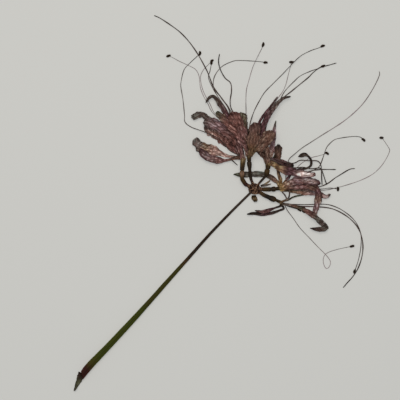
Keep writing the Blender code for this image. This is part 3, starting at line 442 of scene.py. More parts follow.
# Colours of the swollen top of the scape from the bottom of its wrinkles to their ridges: painted shade in
# the hollows, painted light on the ridges
HEAD_COLOURS = "ink wine wine bark umber fawn"
PEDICEL_COLOURS = {
    "a": "wine wine bark bark umber bark",
    "b": "wine ink ink ink ink",
    "c": "wine ink ink ink bark bark",
    "d": "wine bark bark ink ink bark",
    "e": "bark bark pitch pitch ink bark",
}
THROAT_COLOURS = "ink bark khaki"
FILAMENT_COLOURS = ("brown brown brown ink", "brown grey brown ink", "brown brown grey ink")
STYLE_COLOURS = "dusk brown brown ink"
FAINT_COLOURS = "brown ash mauve brown"

# A coat has what its shader's sockets are set to, and its grains: how often each changes in a millimetre
# along and across a piece, then its detail, roughness and distortion. Each of its tones is a field, the
# factors at its low and its high end, and where those ends lie. A hue has the factors by which it changes a
# colour as well. Last are the fields that stand out as a bump, its height in millimetres and its strength.
Coat = namedtuple("Coat", "sockets grains tones hues bumps height strength")

COATS = {
    # Papery, with streaks and veins along it, blotches, painted shade in the creases and painted highlights
    # on the folds between
    "tepal": Coat(
        {"Roughness": 0.7, "Specular IOR Level": 0.1, "Sheen Weight": 0.02},
        {"streaks": (0.17, 1.9, 3), "veins": (0.12, 6, 2), "blotches": (0.28, 0.5, 4, 0.65),
         "mottles": (0.4, 0.75, 4, 0.65, 0.6)},
        (("streaks", 0.72, 1.32), ("veins", 0.84, 1.18), ("fold", 0.28, 1.68, 0, 1),
         ("mottles", 0.5, 1.5, 0.36, 0.64)),
        # The fold hues are painted light: paler and greyer highlights on the ridges, deeper and redder shade
        # in the creases
        (("blotches", 1, 0, 0.3, 0.7, (1.08, 0.92, 0.92)), ("fold", 0, 1, 0.6, 1, (1.15, 1.5, 1.5)),
         ("fold", 1, 0, 0, 0.5, (1.1, 0.82, 0.72))),
        ("streaks", "veins"), 0.12, 0.6,
    ),
    # Thin and dry, with fine straight veins, painted shade in its creases and painted highlights on the folds
    # between
    "bract": Coat(
        {"Roughness": 0.7, "Specular IOR Level": 0.1},
        {"veins": (0.15, 5, 2), "blotches": (0.6, 0.9, 4, 0.65)},
        (("veins", 0.7, 1.3), ("fold", 0.7, 1.3, 0, 1), ("blotches", 0.75, 1.25)),
        (),
        ("veins", "blotches"), 0.1, 0.6,
    ),
    # Dark and shrivelled, with pale dust on its ribs, painted highlights on the ribs and painted shade in the
    # furrows between
    "ovary": Coat(
        {"Roughness": 0.55, "Specular IOR Level": 0.12},
        {"ridges": (0.35, 1.6, 4, 0.6), "specks": (2.2, 2.2, 2)},
        (("ridges", 0.6, 1.45), ("fold", 0.4, 1.5, 0, 1), ("specks", 0.85, 1.2)),
        (("ridges", 0, 1, 0.3, 0.7, (1.2, 1.05, 0.75)),),
        ("ridges", "specks"), 0.15, 0.7,
    ),
    # Ribbed along its length, with a waxy gleam, painted highlights on the ribs and painted shade in the
    # furrows, and specked with dark spots
    "scape": Coat(
        {"Roughness": 0.6, "Specular IOR Level": 0.08},
        {"lines": (0.06, 2.4, 3), "blotches": (0.12, 0.5, 4, 0.6), "specks": (0.9, 2.4, 3, 0.7)},
        (("lines", 0.75, 1.28), ("fold", 0.6, 1.35, 0.2, 0.95), ("specks", 0.85, 1.1)),
        (("blotches", 0, 1, 0.3, 0.7, (1.25, 1, 0.7)),),
        ("lines", "specks"), 0.12, 0.5,
    ),
    # Thin and dry, lighter and darker by stretches, with fine lines along it
    "filament": Coat(
        {"Roughness": 0.6, "Specular IOR Level": 0.12},
        {"stretches": (0.14, 0.3, 3), "lines": (0.5, 7, 2)},
        (("stretches", 0.72, 1.32), ("lines", 0.85, 1.15)),
        (),
        ("lines", "stretches"), 0.05, 0.5,
    ),
    # Near black, with a crust of dried pollen along the lobes, and painted shade in the groove between them
    "anther": Coat(
        {"Roughness": 0.75, "Specular IOR Level": 0.1},
        {"crust": (3, 1.6, 4, 0.7)},
        (("crust", 0.6, 1.7), ("fold", 0.5, 1.15, 0, 1)),
        (("crust", 0, 1, 0.3, 0.7, (1.5, 1.2, 0.9)),),
        ("crust", "fold"), 0.12, 0.8,
    ),
}


def plan(points):
    """Metres in plan of pixels of the photograph, given as x, y, x, y and so on."""
    return (np.reshape(points, (-1, 2)) - PLAN_CENTRE) * (PIXEL, -PIXEL)


UMBEL = plan(UMBEL_SPOT)[0]


def unit(vectors):
    return vectors / np.linalg.norm(vectors, axis=-1, keepdims=True)


def grid(*parts):
    """The parts side by side in a last axis, each stretched to the same shape."""
    return np.stack(np.broadcast_arrays(*parts), axis=-1)


def run_along(points):
    """How far along its path each point lies."""
    return np.concatenate([[0], np.cumsum(np.linalg.norm(np.diff(points, axis=0), axis=1))])


def smooth_path(corners, spacing):
    """Evenly spaced points on a smooth curve through the corners, and how far along each lies."""
    ends = np.vstack([2 * corners[0] - corners[1], corners, 2 * corners[-1] - corners[-2]])
    share = np.linspace(0, 1, CURVE_POINTS, endpoint=False)[:, None]
    dense = []
    for a, b, c, d in zip(ends, ends[1:], ends[2:], ends[3:]):
        square = 2 * a - 5 * b + 4 * c - d
        cube = 3 * b - a - 3 * c + d
        dense.append(b + 0.5 * ((c - a) * share + square * share**2 + cube * share**3))
    dense = np.vstack([*dense, corners[-1:]])
    run = run_along(dense)
    along = np.linspace(0, run[-1], max(3, math.ceil(run[-1] / spacing) + 1))
    return np.column_stack([np.interp(along, run, axis) for axis in dense.T]), along


def sideways(path):
    """Unit vectors to the left of the path."""
    ahead = unit(np.gradient(path, axis=0))
    return np.column_stack([-ahead[:, 1], ahead[:, 0]])


def bend_radius(path, along):
    ahead = np.gradient(path, along, axis=0)
    turn = np.gradient(ahead, along, axis=0)
    bend = np.abs(ahead[:, 0] * turn[:, 1] - ahead[:, 1] * turn[:, 0])
    return 1 / np.maximum(bend, 1)


def ease_in(share):
    share = np.clip(share, 0, 1)
    return share * share * (3 - 2 * share)


def blade_widths(along, shape):
    """Width of a tepal: a narrow claw, then widening, with ruffled edges and a blunt or a pointed tip."""
    share = along / along[-1]
    claw = min(shape.claw, 0.8 * shape.width)
    opening = 0.7 * (shape.widest_at - shape.neck)
    grown = claw + (shape.width - claw) * ease_in((share - shape.neck) / opening)
    past = np.clip((share - shape.widest_at) / (1 - shape.widest_at), 0, 1)
    tapered = grown * (1 - (1 - shape.blunt) * past**2 - 0.25 * shape.blunt * past**6)
    turns = along / RUFFLE_LENGTH + shape.width / MM
    ruffled = tapered * (1 + RUFFLE * np.sin(2 * math.pi * turns))
    return np.maximum(ruffled, NARROWEST)


def edge_wave(along, side, widths):
    """How far a blade rises at a share of its half width, in waves along each edge."""
    phase = 2 * math.pi * along / WAVE_LENGTH + np.where(side > 0, 0, WAVE_LAG)
    return WAVE * np.minimum(1, widths / WAVE_WIDTH) * side**2 * (0.5 + 0.5 * np.sin(phase))


class Pile:
    """The height of what has been laid, over a grid of the plan, kept for each node."""

    def __init__(self):
        self.shape = tuple(np.ceil((PLAN_HIGH - PLAN_LOW) / CELL).astype(int))
        self.tops = {}

    def cells(self, points):
        return np.floor((points - PLAN_LOW) / CELL).astype(int).T

    def clear_of(self, points, but=None):
        """Lowest underside at each point that clears every node but one."""
        column, row = self.cells(points)
        lowest = np.zeros(len(points))
        for node, top in self.tops.items():
            if node != but:
                lowest = np.maximum(lowest, top[column, row] + GAP)
        return lowest

    def cover(self, node, points, heights):
        top = self.tops.setdefault(node, np.full(self.shape, -GAP))
        column, row = self.cells(points)
        for right in (-1, 0, 1):
            for up in (-1, 0, 1):
                np.maximum.at(top, (column + right, row + up), heights)


def spread(path, widths):
    """Points all over a strip in plan, the path point that each belongs to, and its side from -1 to 1."""
    count = max(3, math.ceil(widths.max() / CELL) + 1)
    side = np.tile(np.linspace(-1, 1, count), len(path))
    owner = np.repeat(np.arange(len(path)), count)
    points = path[owner] + sideways(path)[owner] * (side * widths[owner] / 2)[:, None]
    return points, owner, side


def limit_slope(heights, steepest):
    """The same heights, lowered so that no two neighbours differ by more than the given steps."""
    heights = heights.copy()
    steepest = np.broadcast_to(steepest, len(heights))
    for i in range(1, len(heights)):
        heights[i] = min(heights[i], heights[i - 1] + steepest[i])
    for i in range(len(heights) - 2, -1, -1):
        heights[i] = min(heights[i], heights[i + 1] + steepest[i])
    return heights


def underside(pile, node, path, along, widths, root, root_height, margin):
    """Height of a strip along its path: as low as it can lie, clear of what is below, with soft bends."""
    points, owner, _ = spread(path, widths)
    needed = np.where(along[owner] < root, pile.clear_of(points, but=node), pile.clear_of(points))
    floor = np.zeros(len(path))
    np.maximum.at(floor, owner, needed)
    floor[0] = max(floor[0], root_height)
    spacing = along[1]
    reach = round((EASE + margin) / spacing)
    high = np.array([floor[max(0, i - reach) : i + reach + 1].max() for i in range(len(floor))])
    high[:reach] = np.maximum.accumulate(floor)[: len(high[:reach])]
    high = -limit_slope(-high, np.where(along < ROOT_LENGTH, ROOT_SLOPE, SLOPE) * spacing)
    ease = round(EASE / spacing)
    return np.array([high[max(0, i - ease) : i + ease + 1].mean() for i in range(len(high))])


# Where a strip lies: a path in plan, its widths and the heights of its underside. How far along each point
# of the path lies, the looks of the strip and how its foot is shifted are given where they are needed.
Strip = namedtuple("Strip", "node kind path widths heights along look shift", defaults=(None, None, 0))


def settle(pile, node, corners, widths_at, step, root, root_height):
    """Path, widths, heights and run of a strip, straight between the stations where its solid is laid."""
    path, along = smooth_path(corners, FINE)
    widths = widths_at(path, along)
    lowest = underside(pile, node, path, along, widths, root, root_height, step / 2)
    _, stations = smooth_path(corners, step)
    return path, widths, np.interp(along, stations, np.interp(stations, along, lowest)), along


def lay_blade(pile, node, shape, corners, root, root_height, shift=0):
    """Lays one tepal or bract."""

    def widths_at(path, along):
        return np.minimum(blade_widths(along, shape), WIDEST_BEND * bend_radius(path, along))

    path, widths, heights, along = settle(pile, node, corners, widths_at, BLADE_STEP, root, root_height)
    points, owner, side = spread(path, widths)
    tops = heights + BLADE_TOP * BLADE
    pile.cover(node, points, tops[owner] + edge_wave(along[owner], side, widths[owner]))
    return Strip(node, "blade", path, widths, heights, along, shape, shift)


def lay_strand(pile, node, shape, foot, root_height):
    """Lays one filament or style, with its anther if it has one."""

    def widths_at(_, along):
        return 2 * np.interp(along, (0, along[-1]), (STRAND_RADIUS, STRAND_TIP_RADIUS))

    corners = np.vstack([foot, plan(shape.points)])
    strand = settle(pile, node, corners, widths_at, STRAND_STEP, math.inf, root_height)
    path, widths, heights, _ = strand
    points, owner, _ = spread(path, widths)
    pile.cover(node, points, (heights + widths)[owner])
    if shape.anther is None:
        return [Strip(node, "style", *strand, shape)]
    anther = lay_anther(pile, node, path[-1], math.radians(shape.anther), heights[-1])
    return [Strip(node, "filament", *strand, shape), anther]


def lay_anther(pile, node, spot, angle, height):
    """Lays a small grain across the filament's tip."""
    length, width, thick = ANTHER
    reach = np.linspace(-length / 2, length / 2, 9)
    row = spot + reach[:, None] * np.array([math.cos(angle), math.sin(angle)])
    widths = np.full(len(row), width)
    points, _, _ = spread(row, widths)
    height = max(height, pile.clear_of(points, but=node).max())
    pile.cover(node, points, height + thick)
    return Strip(node, "anther", row, widths, np.full(len(row), height))


def lay_tube(pile, node, points, radii):
    """Lays a stiff tube that others are laid over."""
    strips = []
    share = np.linspace(0, 1, TUBE_ROWS)[:, None]
    stations = np.column_stack([points, radii])
    for first, second in zip(stations, stations[1:]):
        places = first + share * (second - first)
        line, middle, radius = places[:, :2], places[:, 2], places[:, 3]
        spots, owner, _ = spread(line, 2 * radius)
        pile.cover(node, spots, (middle + radius)[owner])
        strips.append(Strip(node, "tube", line, 2 * radius, middle - radius))
    return strips


def pedicel_way(floret):
    """Direction in which a pedicel leaves the umbel, and its foot."""
    ahead = unit(plan(floret.pedicel)[0] - UMBEL)
    return ahead, UMBEL + ahead * SOCKET_REACH


def scape_stations():
    """Places of the scape in plan, with its radius at each."""
    return np.array([[*plan(place[:2])[0], place[2] * MM / 2] for place in SCAPE])


def lay_scape(pile):
    """Lays the stalk and the swollen base of the umbel with its sockets."""
    corners = scape_stations()
    path, _ = smooth_path(corners[:, :2], FINE)
    widths = 2 * np.interp(path[:, 0], corners[:, 0], corners[:, 2])
    points, owner, _ = spread(path, widths)
    pile.cover("scape", points, widths[owner])
    strips = []
    for floret in FLORETS.values():
        strips += lay_tube(pile, "scape", socket_points(floret), (SOCKET_FLARE * floret.stalk, floret.stalk))
    share = np.linspace(-1, 1, 15)
    disc = np.array([(x, y) for x in share for y in share if x * x + y * y <= 1])
    pile.cover("scape", UMBEL + disc * UMBEL_BASE[:2], 2 * UMBEL_BASE[2])
    chord = np.sqrt(1 - 0.99 * share**2)
    line = UMBEL + share[:, None] * np.array([UMBEL_BASE[0], 0])
    strips.append(Strip("scape", "ball", line, 2 * UMBEL_BASE[1] * chord, UMBEL_BASE[2] * (1 - chord)))
    return strips


def socket_points(floret):
    """The line of the socket that carries a pedicel."""
    ahead, foot = pedicel_way(floret)
    inside = UMBEL + ahead * SOCKET_REACH / 2
    return np.column_stack([[inside, foot - ahead * GAP], [UMBEL_BASE[2]] * 2])


def pedicel_line(floret):
    """Points and radii of a pedicel and its swollen ovary."""
    _, start = pedicel_way(floret)
    stalk = [start, *plan(floret.pedicel)]
    foot, head = plan(floret.ovary)
    places = [*stalk, foot, foot + 0.35 * (head - foot), foot + 0.75 * (head - foot), head]
    run = run_along(places)
    heights = np.interp(run, (run[1], run[len(stalk)]), (UMBEL_BASE[2], floret.lift))
    radii = [*np.multiply(STALK_GIRTHS, floret.stalk), *np.multiply(OVARY_GIRTHS, floret.girth)]
    return np.column_stack([places, heights]), np.array(radii)


def throat_line(floret):
    """Points and radii of a perianth tube."""
    foot, mouth = plan(floret.throat)
    points = np.column_stack([[foot, (foot + mouth) / 2, mouth], [floret.lift] * 3])
    return points, np.multiply(TUBE_GIRTHS, floret.mouth)


def throat_of(floret):
    """The mouth of the perianth tube and the direction in which it opens."""
    foot, mouth = plan(floret.throat)
    return mouth, unit(mouth - foot)


def tepals_of(letter, above):
    """What lay_blade takes for some tepals of a floret. The claws of those that bend left stand left."""
    floret = FLORETS[letter]
    mouth, ahead = throat_of(floret)
    left = np.array([-ahead[1], ahead[0]])
    root = mouth - ahead * ROOT_DEPTH
    root_height = floret.lift + (OVER_RISE if above else -UNDER_DROP)
    shapes = floret.tepals[floret.lower :] if above else floret.tepals[: floret.lower]
    ranks = np.argsort(np.argsort([(plan(shape.points)[0] - mouth) @ left for shape in shapes]))
    middle = (len(shapes) - 1) / 2
    tepals = []
    for shape, rank in zip(shapes, ranks):
        corners = np.vstack([root, plan(shape.points)])
        shift = left * ((rank - middle) / max(1, middle)) * ROOT_SPREAD
        tepals.append((f"perianth_{letter}", shape, corners, ROOT_LENGTH, root_height, shift))
    return tepals


def lay_stamens(pile, letter):
    """Lays the stamens and the style of a floret, which leave its throat together."""
    floret = FLORETS[letter]
    mouth, ahead = throat_of(floret)
    start = mouth + ahead * 1.2 * GAP
    node = f"stamens_{letter}"
    ends = np.column_stack([[start, start + ahead * COLUMN_LENGTH], [floret.lift] * 2])
    strips = lay_tube(pile, node, ends, (COLUMN_RADIUS, 0.8 * COLUMN_RADIUS))
    foot = start + ahead * COLUMN_LENGTH / 3
    for shape in floret.strands:
        strips += lay_strand(pile, node, shape, foot, floret.lift - STRAND_RADIUS)
    return strips


def lay_flower(pile):
    """Every strip, in the order in which they lie on each other."""
    strips = []

    def lay_blades(blades):
        strips.extend(lay_blade(pile, *blade) for blade in blades)

    for node, shapes in BRACTS.items():
        lay_blades((node, shape, plan(shape.points), BRACT_ROOT, 0) for shape in shapes)
    strips += lay_scape(pile)
    lowest, *others = tepals_of("d", False)
    lay_blades([lowest])
    for letter, floret in FLORETS.items():
        strips += lay_tube(pile, f"pedicel_{letter}", *pedicel_line(floret))
        strips += lay_tube(pile, f"perianth_{letter}", *throat_line(floret))
    for letter in UNDER_ORDER:
        lay_blades(others if letter == "d" else tepals_of(letter, False))
    for letter in UNDER_ORDER:
        strips += lay_stamens(pile, letter)
    for letter in OVER_ORDER:
        lay_blades(tepals_of(letter, True))
    lay_blades([("perianth_e", FOLD, plan(FOLD.points), FOLD_ROOT, 0)])
    return strips


def linear(colour):
    """Linear light of a colour given from 0 to 255."""
    share = np.array(colour) / 255
    return np.where(share > 0.04, ((share + 0.055) / 1.055) ** 2.4, share / 12.92)


def paint(colours, share):
    """Colour at shares of a piece's length, through the named colours at even steps."""
    stops = np.array([linear(PALETTE[name]) for name in colours.split()])
    at = np.linspace(0, 1, len(stops))
    return np.stack([np.interp(share, at, part) for part in stops.T], axis=-1)


def wander(along, rng, pitch):
    """A smooth, irregular wave between about -1 and 1."""
    total = 0
    for part in (1, 2, 3):
        turns = along / pitch * part * rng.uniform(0.8, 1.2) + rng.uniform()
        total = total + np.sin(2 * math.pi * turns) / part
    return total / 1.5


def crumple(run, offset, rng):
    """Height from 0 to 1 of a crumpled sheet at places along and across it, with sharp creases at 0."""
    total = np.zeros_like(offset)
    crease = np.ones_like(offset)
    for number in range(FOLDS):
        angle = rng.normal(0, FOLD_LEAN)
        pitch = rng.uniform(*FOLD_PITCH)
        if number % 2:
            angle += rng.choice((-1, 1)) * rng.uniform(*CROSS_LEAN)
            pitch = rng.uniform(*CROSS_PITCH)
        bend = rng.uniform(0.2, 0.6) * pitch * np.sin(run / rng.uniform(*FOLD_BEND) + rng.uniform(0, 6))
        across = offset * math.cos(angle) + run * math.sin(angle) + bend
        fold = np.abs(np.sin(math.pi * across / pitch + rng.uniform(0, 3)))
        total += rng.choice((-1, 1)) * pitch * fold
        waves = np.sin(run / rng.uniform(*CREASE_FADE) + rng.uniform(0, 6))
        waves = waves + np.sin(offset / rng.uniform(*CREASE_FADE) + rng.uniform(0, 6))
        near = np.clip(1 - fold * pitch / (math.pi * CREASE), 0, 1)
        crease = np.minimum(crease, 1 - near * ease_in(0.5 + 0.5 * waves))
    low, high = np.percentile(total, (2, 98))
    return (0.25 + 0.75 * np.clip((total - low) / (high - low), 0, 1)) * crease


def with_settings(thing, **settings):
    """The same thing, after its settings are made."""
    for name, value in settings.items():
        setattr(thing, name, value)
    return thing


def set_inputs(node, values):
    for name, value in values.items():
        node.inputs[name].default_value = value


def new_object(name, data):
    obj = bpy.data.objects.new(name, data)
    bpy.context.scene.collection.objects.link(obj)
    return obj


class Skin:
    """Grids of points gathered into one mesh, with what the material reads at each point."""

    def __init__(self):
        self.grids = []
        self.faces = []
        self.count = 0

    def add(self, places, lay=(0, 0, 0), tint=0, fold=0, closed=False):
        """One grid. A closed one is a tube, and its ends are capped."""
        rows, columns = places.shape[:2]
        index = self.count + np.arange(rows * columns).reshape(rows, columns)
        here, beside = (index, np.roll(index, -1, axis=1)) if closed else (index[:, :-1], index[:, 1:])
        quads = np.stack([here[:-1], here[1:], beside[1:], beside[:-1]], axis=-1)
        self.faces += quads.reshape(-1, 4).tolist()
        if closed:
            self.faces += [index[0].tolist(), index[-1, ::-1].tolist()]
        parts = (np.broadcast_to(part, places.shape).reshape(-1, 3) for part in (places, grid(*lay), tint))
        self.grids.append((*parts, np.broadcast_to(fold, places.shape[:2]).reshape(-1)))
        self.count += rows * columns

    def plain(self, name, margin=0):
        """The grids as one object, kept inside the solids' box."""
        places = np.vstack([part[0] for part in self.grids])
        low, high = np.array(CAD_BOX[0]) + margin, np.array(CAD_BOX[1]) - margin
        mesh = bpy.data.meshes.new(name)
        mesh.from_pydata(np.clip(places, low, high).tolist(), [], self.faces)
        return new_object(name, mesh)

    def build(self, name, material, slot, node, thickness=0):
        """The finished piece, which stands for a solid."""
        obj = self.plain(name, thickness / 2)
        _, *marks = (np.concatenate(part) for part in zip(*self.grids))
        mark_mesh(obj.data, *marks)
        obj.data.shade_smooth()
        if thickness:
            with_settings(obj.modifiers.new("thickness", "SOLIDIFY"), thickness=thickness, offset=0)
        dress(obj, material, node)


def mark_mesh(mesh, lay, tint, fold):
    """Stores at each point its place along and across, its colour and how high it lies in its folds, from
    which the materials paint shade and highlights.
    """
    mesh.attributes.new("lay", "FLOAT_VECTOR", "POINT").data.foreach_set("vector", lay.ravel())
    colour = np.column_stack([tint, np.ones(len(tint))])
    mesh.attributes.new("tint", "FLOAT_COLOR", "POINT").data.foreach_set("color", colour.ravel())
    mesh.attributes.new("fold", "FLOAT", "POINT").data.foreach_set("value", fold)


def dress(obj, material, node):
    obj.data.materials.append(material)
    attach(obj, "root")
    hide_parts(node)


def ring_turns(sides):
    return np.linspace(0, 2 * math.pi, sides, endpoint=False)


def rings(points, radii, sides):
    """Rings of points round a path in space, with a radius for each point or each ring."""
    ahead = unit(np.gradient(points, axis=0))
    left = unit(np.column_stack([-ahead[:, 1], ahead[:, 0], np.zeros(len(ahead))]))
    up = np.cross(ahead, left)
    turn = ring_turns(sides)[:, None]
    around = left[:, None] * np.cos(turn) + up[:, None] * np.sin(turn)
    return points[:, None] + around * np.broadcast_to(radii, (len(points), sides))[..., None]


def add_tube(skin, points, radii, colours, fold, seed):
    """A closed tube whose ends are rounded off, with a radius for each point of its rings."""
    run = run_along(points)
    sides = radii.shape[1]
    near = np.minimum(run, run[-1] - run) / np.maximum(radii.mean(axis=1), 0.01 * MM)
    radii = radii * np.sqrt(np.clip(1 - (1 - np.clip(near, 0.05, 1)) ** 2, 0, 1))[:, None]
    lay = run[:, None] / MM, ring_turns(sides) * radii.max() / MM, float(seed)
    skin.add(rings(points, radii, sides), lay, paint(colours, run / run[-1])[:, None], fold, closed=True)


def roll_tip(radius, along, base, up, left, widths, wave, room):
    """The rows of a sheet, of which those past the start of the roll follow a circle."""
    last = np.count_nonzero(along <= along[-1] - radius) - 1
    angle = np.arange(FINE / radius, ROLL_TURN, FINE / radius)[:, None]
    count = len(angle)
    ahead = unit(np.append(base[last, :2] - base[last - 1, :2], 0))
    rolled = (
        base[last] + radius * (ahead * np.sin(angle) + UP * (1 - np.cos(angle))),
        UP * np.cos(angle) - ahead * np.sin(angle),
        np.tile(left[last], (count, 1)),
        widths[last] * np.linspace(1, ROLL_NARROW, count),
        wave[last] * np.linspace(1, 0, count)[:, None],
        np.zeros(count),
    )
    flat = base, up, left, widths, wave, room
    rows = [np.concatenate([before[: last + 1], after]) for before, after in zip(flat, rolled)]
    return np.arange(len(rows[0])) * along[1], *rows


def add_sheet(skin, strip, pile, ceiling, seed):
    """One tepal or bract as a thin crinkled sheet, where its solid lies or above it where there is room."""
    rng = np.random.default_rng(seed)
    look = strip.look
    side = np.linspace(-1, 1, SHEET_ACROSS + 1)
    along, widths = strip.along, strip.widths
    path = strip.path + strip.shift * (1 - ease_in(along / ROOT_FADE))[:, None]
    left = sideways(path)
    wave = edge_wave(along[:, None], side, widths[:, None])
    plain = path[:, None] + left[:, None] * (side * widths[:, None] / 2)[..., None]
    column, row = pile.cells(plain.reshape(-1, 2))
    above = ceiling[column, row].reshape(wave.shape) - strip.heights[:, None] - wave - BLADE
    room = limit_slope(np.maximum(0, above.min(axis=1) - GAP / 2), RISE_SLOPE * FINE)
    rise = TIP_RISE * ease_in((along / along[-1] - 0.5) / 0.5)
    rise = np.minimum(rise + BUCKLE * (0.5 + 0.5 * wander(along, rng, BUCKLE_LENGTH)), room)
    base = np.column_stack([path, strip.heights + rise])
    rows = along, base, np.tile(UP, (len(path), 1)), left, widths, wave, room - rise
    radius = min(look.roll * MM, ROLL_ROOM * rows[-1][-8:].min())
    if radius > SMALLEST_ROLL:
        rows = roll_tip(radius, *rows)
    along, base, up, left, widths, wave, room = rows

    share = along / along[-1]
    to_end = np.clip((along[-1] - along) / (TIP_ROUND * widths[-1]), 0.02, 1)
    widths = widths * np.sqrt(1 - (1 - to_end) ** 2)
    ragged = np.where(side > 0, *(wander(along, rng, length)[:, None] for length in RAGGED_LENGTHS))
    offset = side * widths[:, None] / 2 * (1 + RAGGED * look.crumple * ragged * np.abs(side))
    fold = crumple(along[:, None] / MM + 0 * offset, offset / MM, rng)
    turns = along / CRISP_LENGTH + 0.35 * wander(along, rng, CRISP_DRIFT)
    turns = turns[:, None] + np.where(side > 0, 0, 0.4)
    crisp = CRISP * np.abs(side) ** 3 * (0.5 + 0.5 * np.sin(2 * math.pi * turns))
    crisp = np.minimum(crisp * np.minimum(1, widths / WAVE_WIDTH)[:, None], room[:, None])
    height = SHEET_LOW + RELIEF * (0.5 + (fold - 0.5) * look.crumple) + wave + crisp
    across = np.column_stack([left, np.zeros(len(left))])
    places = base[:, None] + across[:, None] * offset[..., None] + up[:, None] * height[..., None]
    near_tip = ease_in(1 - (along[-1] - along) / TIP_REACH)[:, None]
    uneven = TIP_RAGGED * wander(side, rng, 0.9) * near_tip
    places += np.cross(across, up)[:, None] * uneven[..., None]
    # Painted shade along the edges, where they curl and where they lie on other pieces
    edge = EDGE_SHADE * np.abs(side) ** 4 * (1 + 0.6 * wander(along, rng, EDGE_DRIFT)[:, None])

    comes, goes = PALE_FADES
    middle = look.pale * ease_in((share - PALE_START) / comes) * ease_in((1 - share) / goes)
    middle = middle[:, None] * ease_in(1.5 * (1 - np.abs(side)))
    tint = paint(look.colours, share)[:, None]
    tint = tint + (linear(PALETTE["cream"]) - tint) * middle[..., None]
    lay = along[:, None] / MM, offset / MM, float(seed)
    skin.add(places, lay, tint * (1 - edge)[..., None], fold)


def add_strand(skin, strip, floret, number):
    """One filament or style as a thin, slightly twisted tube that starts deep in the throat."""
    rng = np.random.default_rng(number)
    mouth, ahead = throat_of(floret)
    radii = STYLE if strip.kind == "style" else FILAMENT
    middle = strip.heights + 1.1 * np.interp(strip.along, (0, strip.along[-1]), radii)
    points = np.column_stack([strip.path, middle])
    inside = np.array([*(mouth - ahead * THROAT_DEPTH), floret.lift])
    count = math.ceil(np.linalg.norm(points[0] - inside) / FINE)
    lead = inside + np.linspace(0, 1, count, endpoint=False)[:, None] * (points[0] - inside)
    points = np.vstack([lead, points])
    run = np.arange(len(points)) * FINE
    angle = 2 * math.pi * number / STRANDS_ROUND
    outward = np.array([-ahead[1] * math.cos(angle), ahead[0] * math.cos(angle), math.sin(angle)])
    points = points + STRAND_SPREAD * outward * (1 - ease_in(run / STRAND_JOIN))[:, None]
    kept = np.append(np.arange(0, len(points) - 1, STRAND_ROWS), len(points) - 1)
    points, run = points[kept], run[kept]
    plain = np.interp(run, (0, run[-1]), radii) * (1 + STRAND_UNEVEN * wander(run, rng, STRAND_DRIFT))
    twist = 2 * math.pi * (run / STRAND_TWIST + rng.uniform())
    flat = 1 + STRAND_FLAT * np.cos(2 * (ring_turns(STRAND_SIDES) - twist[:, None]))
    colours = STYLE_COLOURS if strip.kind == "style" else FILAMENT_COLOURS[number % len(FILAMENT_COLOURS)]
    if strip.look.faint:
        plain = plain * FAINT
        colours = FAINT_COLOURS
    add_tube(skin, points, plain[:, None] * flat, colours, 0.5, number)


def add_anther(skin, strip, seed):
    """A dried anther: two shrunken lobes with a groove between them, a little bent."""
    rng = np.random.default_rng(seed)
    length, width, thick = ANTHER
    shrunk = rng.uniform(0.82, 1.0)
    share = np.linspace(-1, 1, ANTHER_RINGS)
    ahead = unit(np.append(strip.path[-1] - strip.path[0], 0))
    left = np.array([-ahead[1], ahead[0], 0])
    spot = np.array([*strip.path.mean(axis=0), strip.heights[0] + thick / 2])
    bend = rng.uniform(-0.18, 0.18) * width
    line = spot + ahead * (share * length / 2 * shrunk)[:, None] + left * (bend * share**2)[:, None]
    turn = ring_turns(ANTHER_SIDES)
    groove = np.abs(np.sin(turn)) ** 6
    round_off = np.sqrt(np.clip(1 - 0.995 * np.abs(share) ** 2.6, 0, 1))[:, None]
    lumps = 1 + 0.07 * np.sin(5 * share[:, None] + 2 * turn + rng.uniform(0, 6))
    size = round_off * (1 - GROOVE * groove) * (lumps + 0.05 * np.sin(11 * share[:, None])) * 0.96
    places = line[:, None] + left * (np.cos(turn) * width / 2 * size)[..., None]
    places = places + UP * (np.sin(turn) * thick / 2 * size)[..., None]
    lay = share[:, None] * 2, turn, float(seed)
    # The groove's depth goes to the material as the fold, which paints shade in the groove
    skin.add(places, lay, linear(PALETTE["ink"]), 1 - groove, closed=True)


def ribs(turn, run, rng, counts):
    """Ribs and furrows round a dried stalk, from 0 to 1."""
    total = 0
    for count in counts:
        drift = rng.uniform(0, 6) + 0.9 * wander(run, rng, RIB_DRIFT)
        total = total + np.abs(np.sin(count * turn / 2 + drift[:, None]))
    return total / len(counts)


def make_stalk(material):
    """The tapering scape: ribbed, flat along its underside, cut askew at its foot."""
    rng = np.random.default_rng(SEEDS["stalk"])
    path, run = smooth_path(scape_stations(), STALK_STEP)
    radius = path[:, 2]
    turn = ring_turns(STALK_SIDES)
    fold = ribs(turn, run, rng, RIB_COUNTS["stalk"])
    places = rings(path, radius[:, None] * (1 - RIB_DEPTH * (1 - fold)), STALK_SIDES)
    lowest = 1 - math.cos(math.radians(REST_ANGLE))
    places[..., 2] = np.maximum(0, places[..., 2] - radius[:, None] * lowest) * SCAPE_FLATNESS
    ahead = np.append(sideways(path[:, :2])[0], 0)[[1, 0, 2]] * (1, -1, 0)
    askew = (0.5 + 0.5 * np.cos(turn))[:, None] * ahead * CUT_ASKEW
    places += askew * np.clip(1 - run / CUT_REACH, 0, 1)[:, None, None]
    share = run / run[-1]
    # Painted highlight along the scape's sides, fading towards the umbel
    rim = RIM_LIGHT * np.abs(np.cos(turn)) ** 4 * (1 - share)[:, None]
    tint = paint(SCAPE_COLOURS, share)[:, None] * (1 + rim)[..., None]
    skin = Skin()
    skin.add(places, (run[:, None] / MM, turn * 2, 7.0), tint, fold, closed=True)
    skin.build("scape_stalk", material, "scape", "scape")


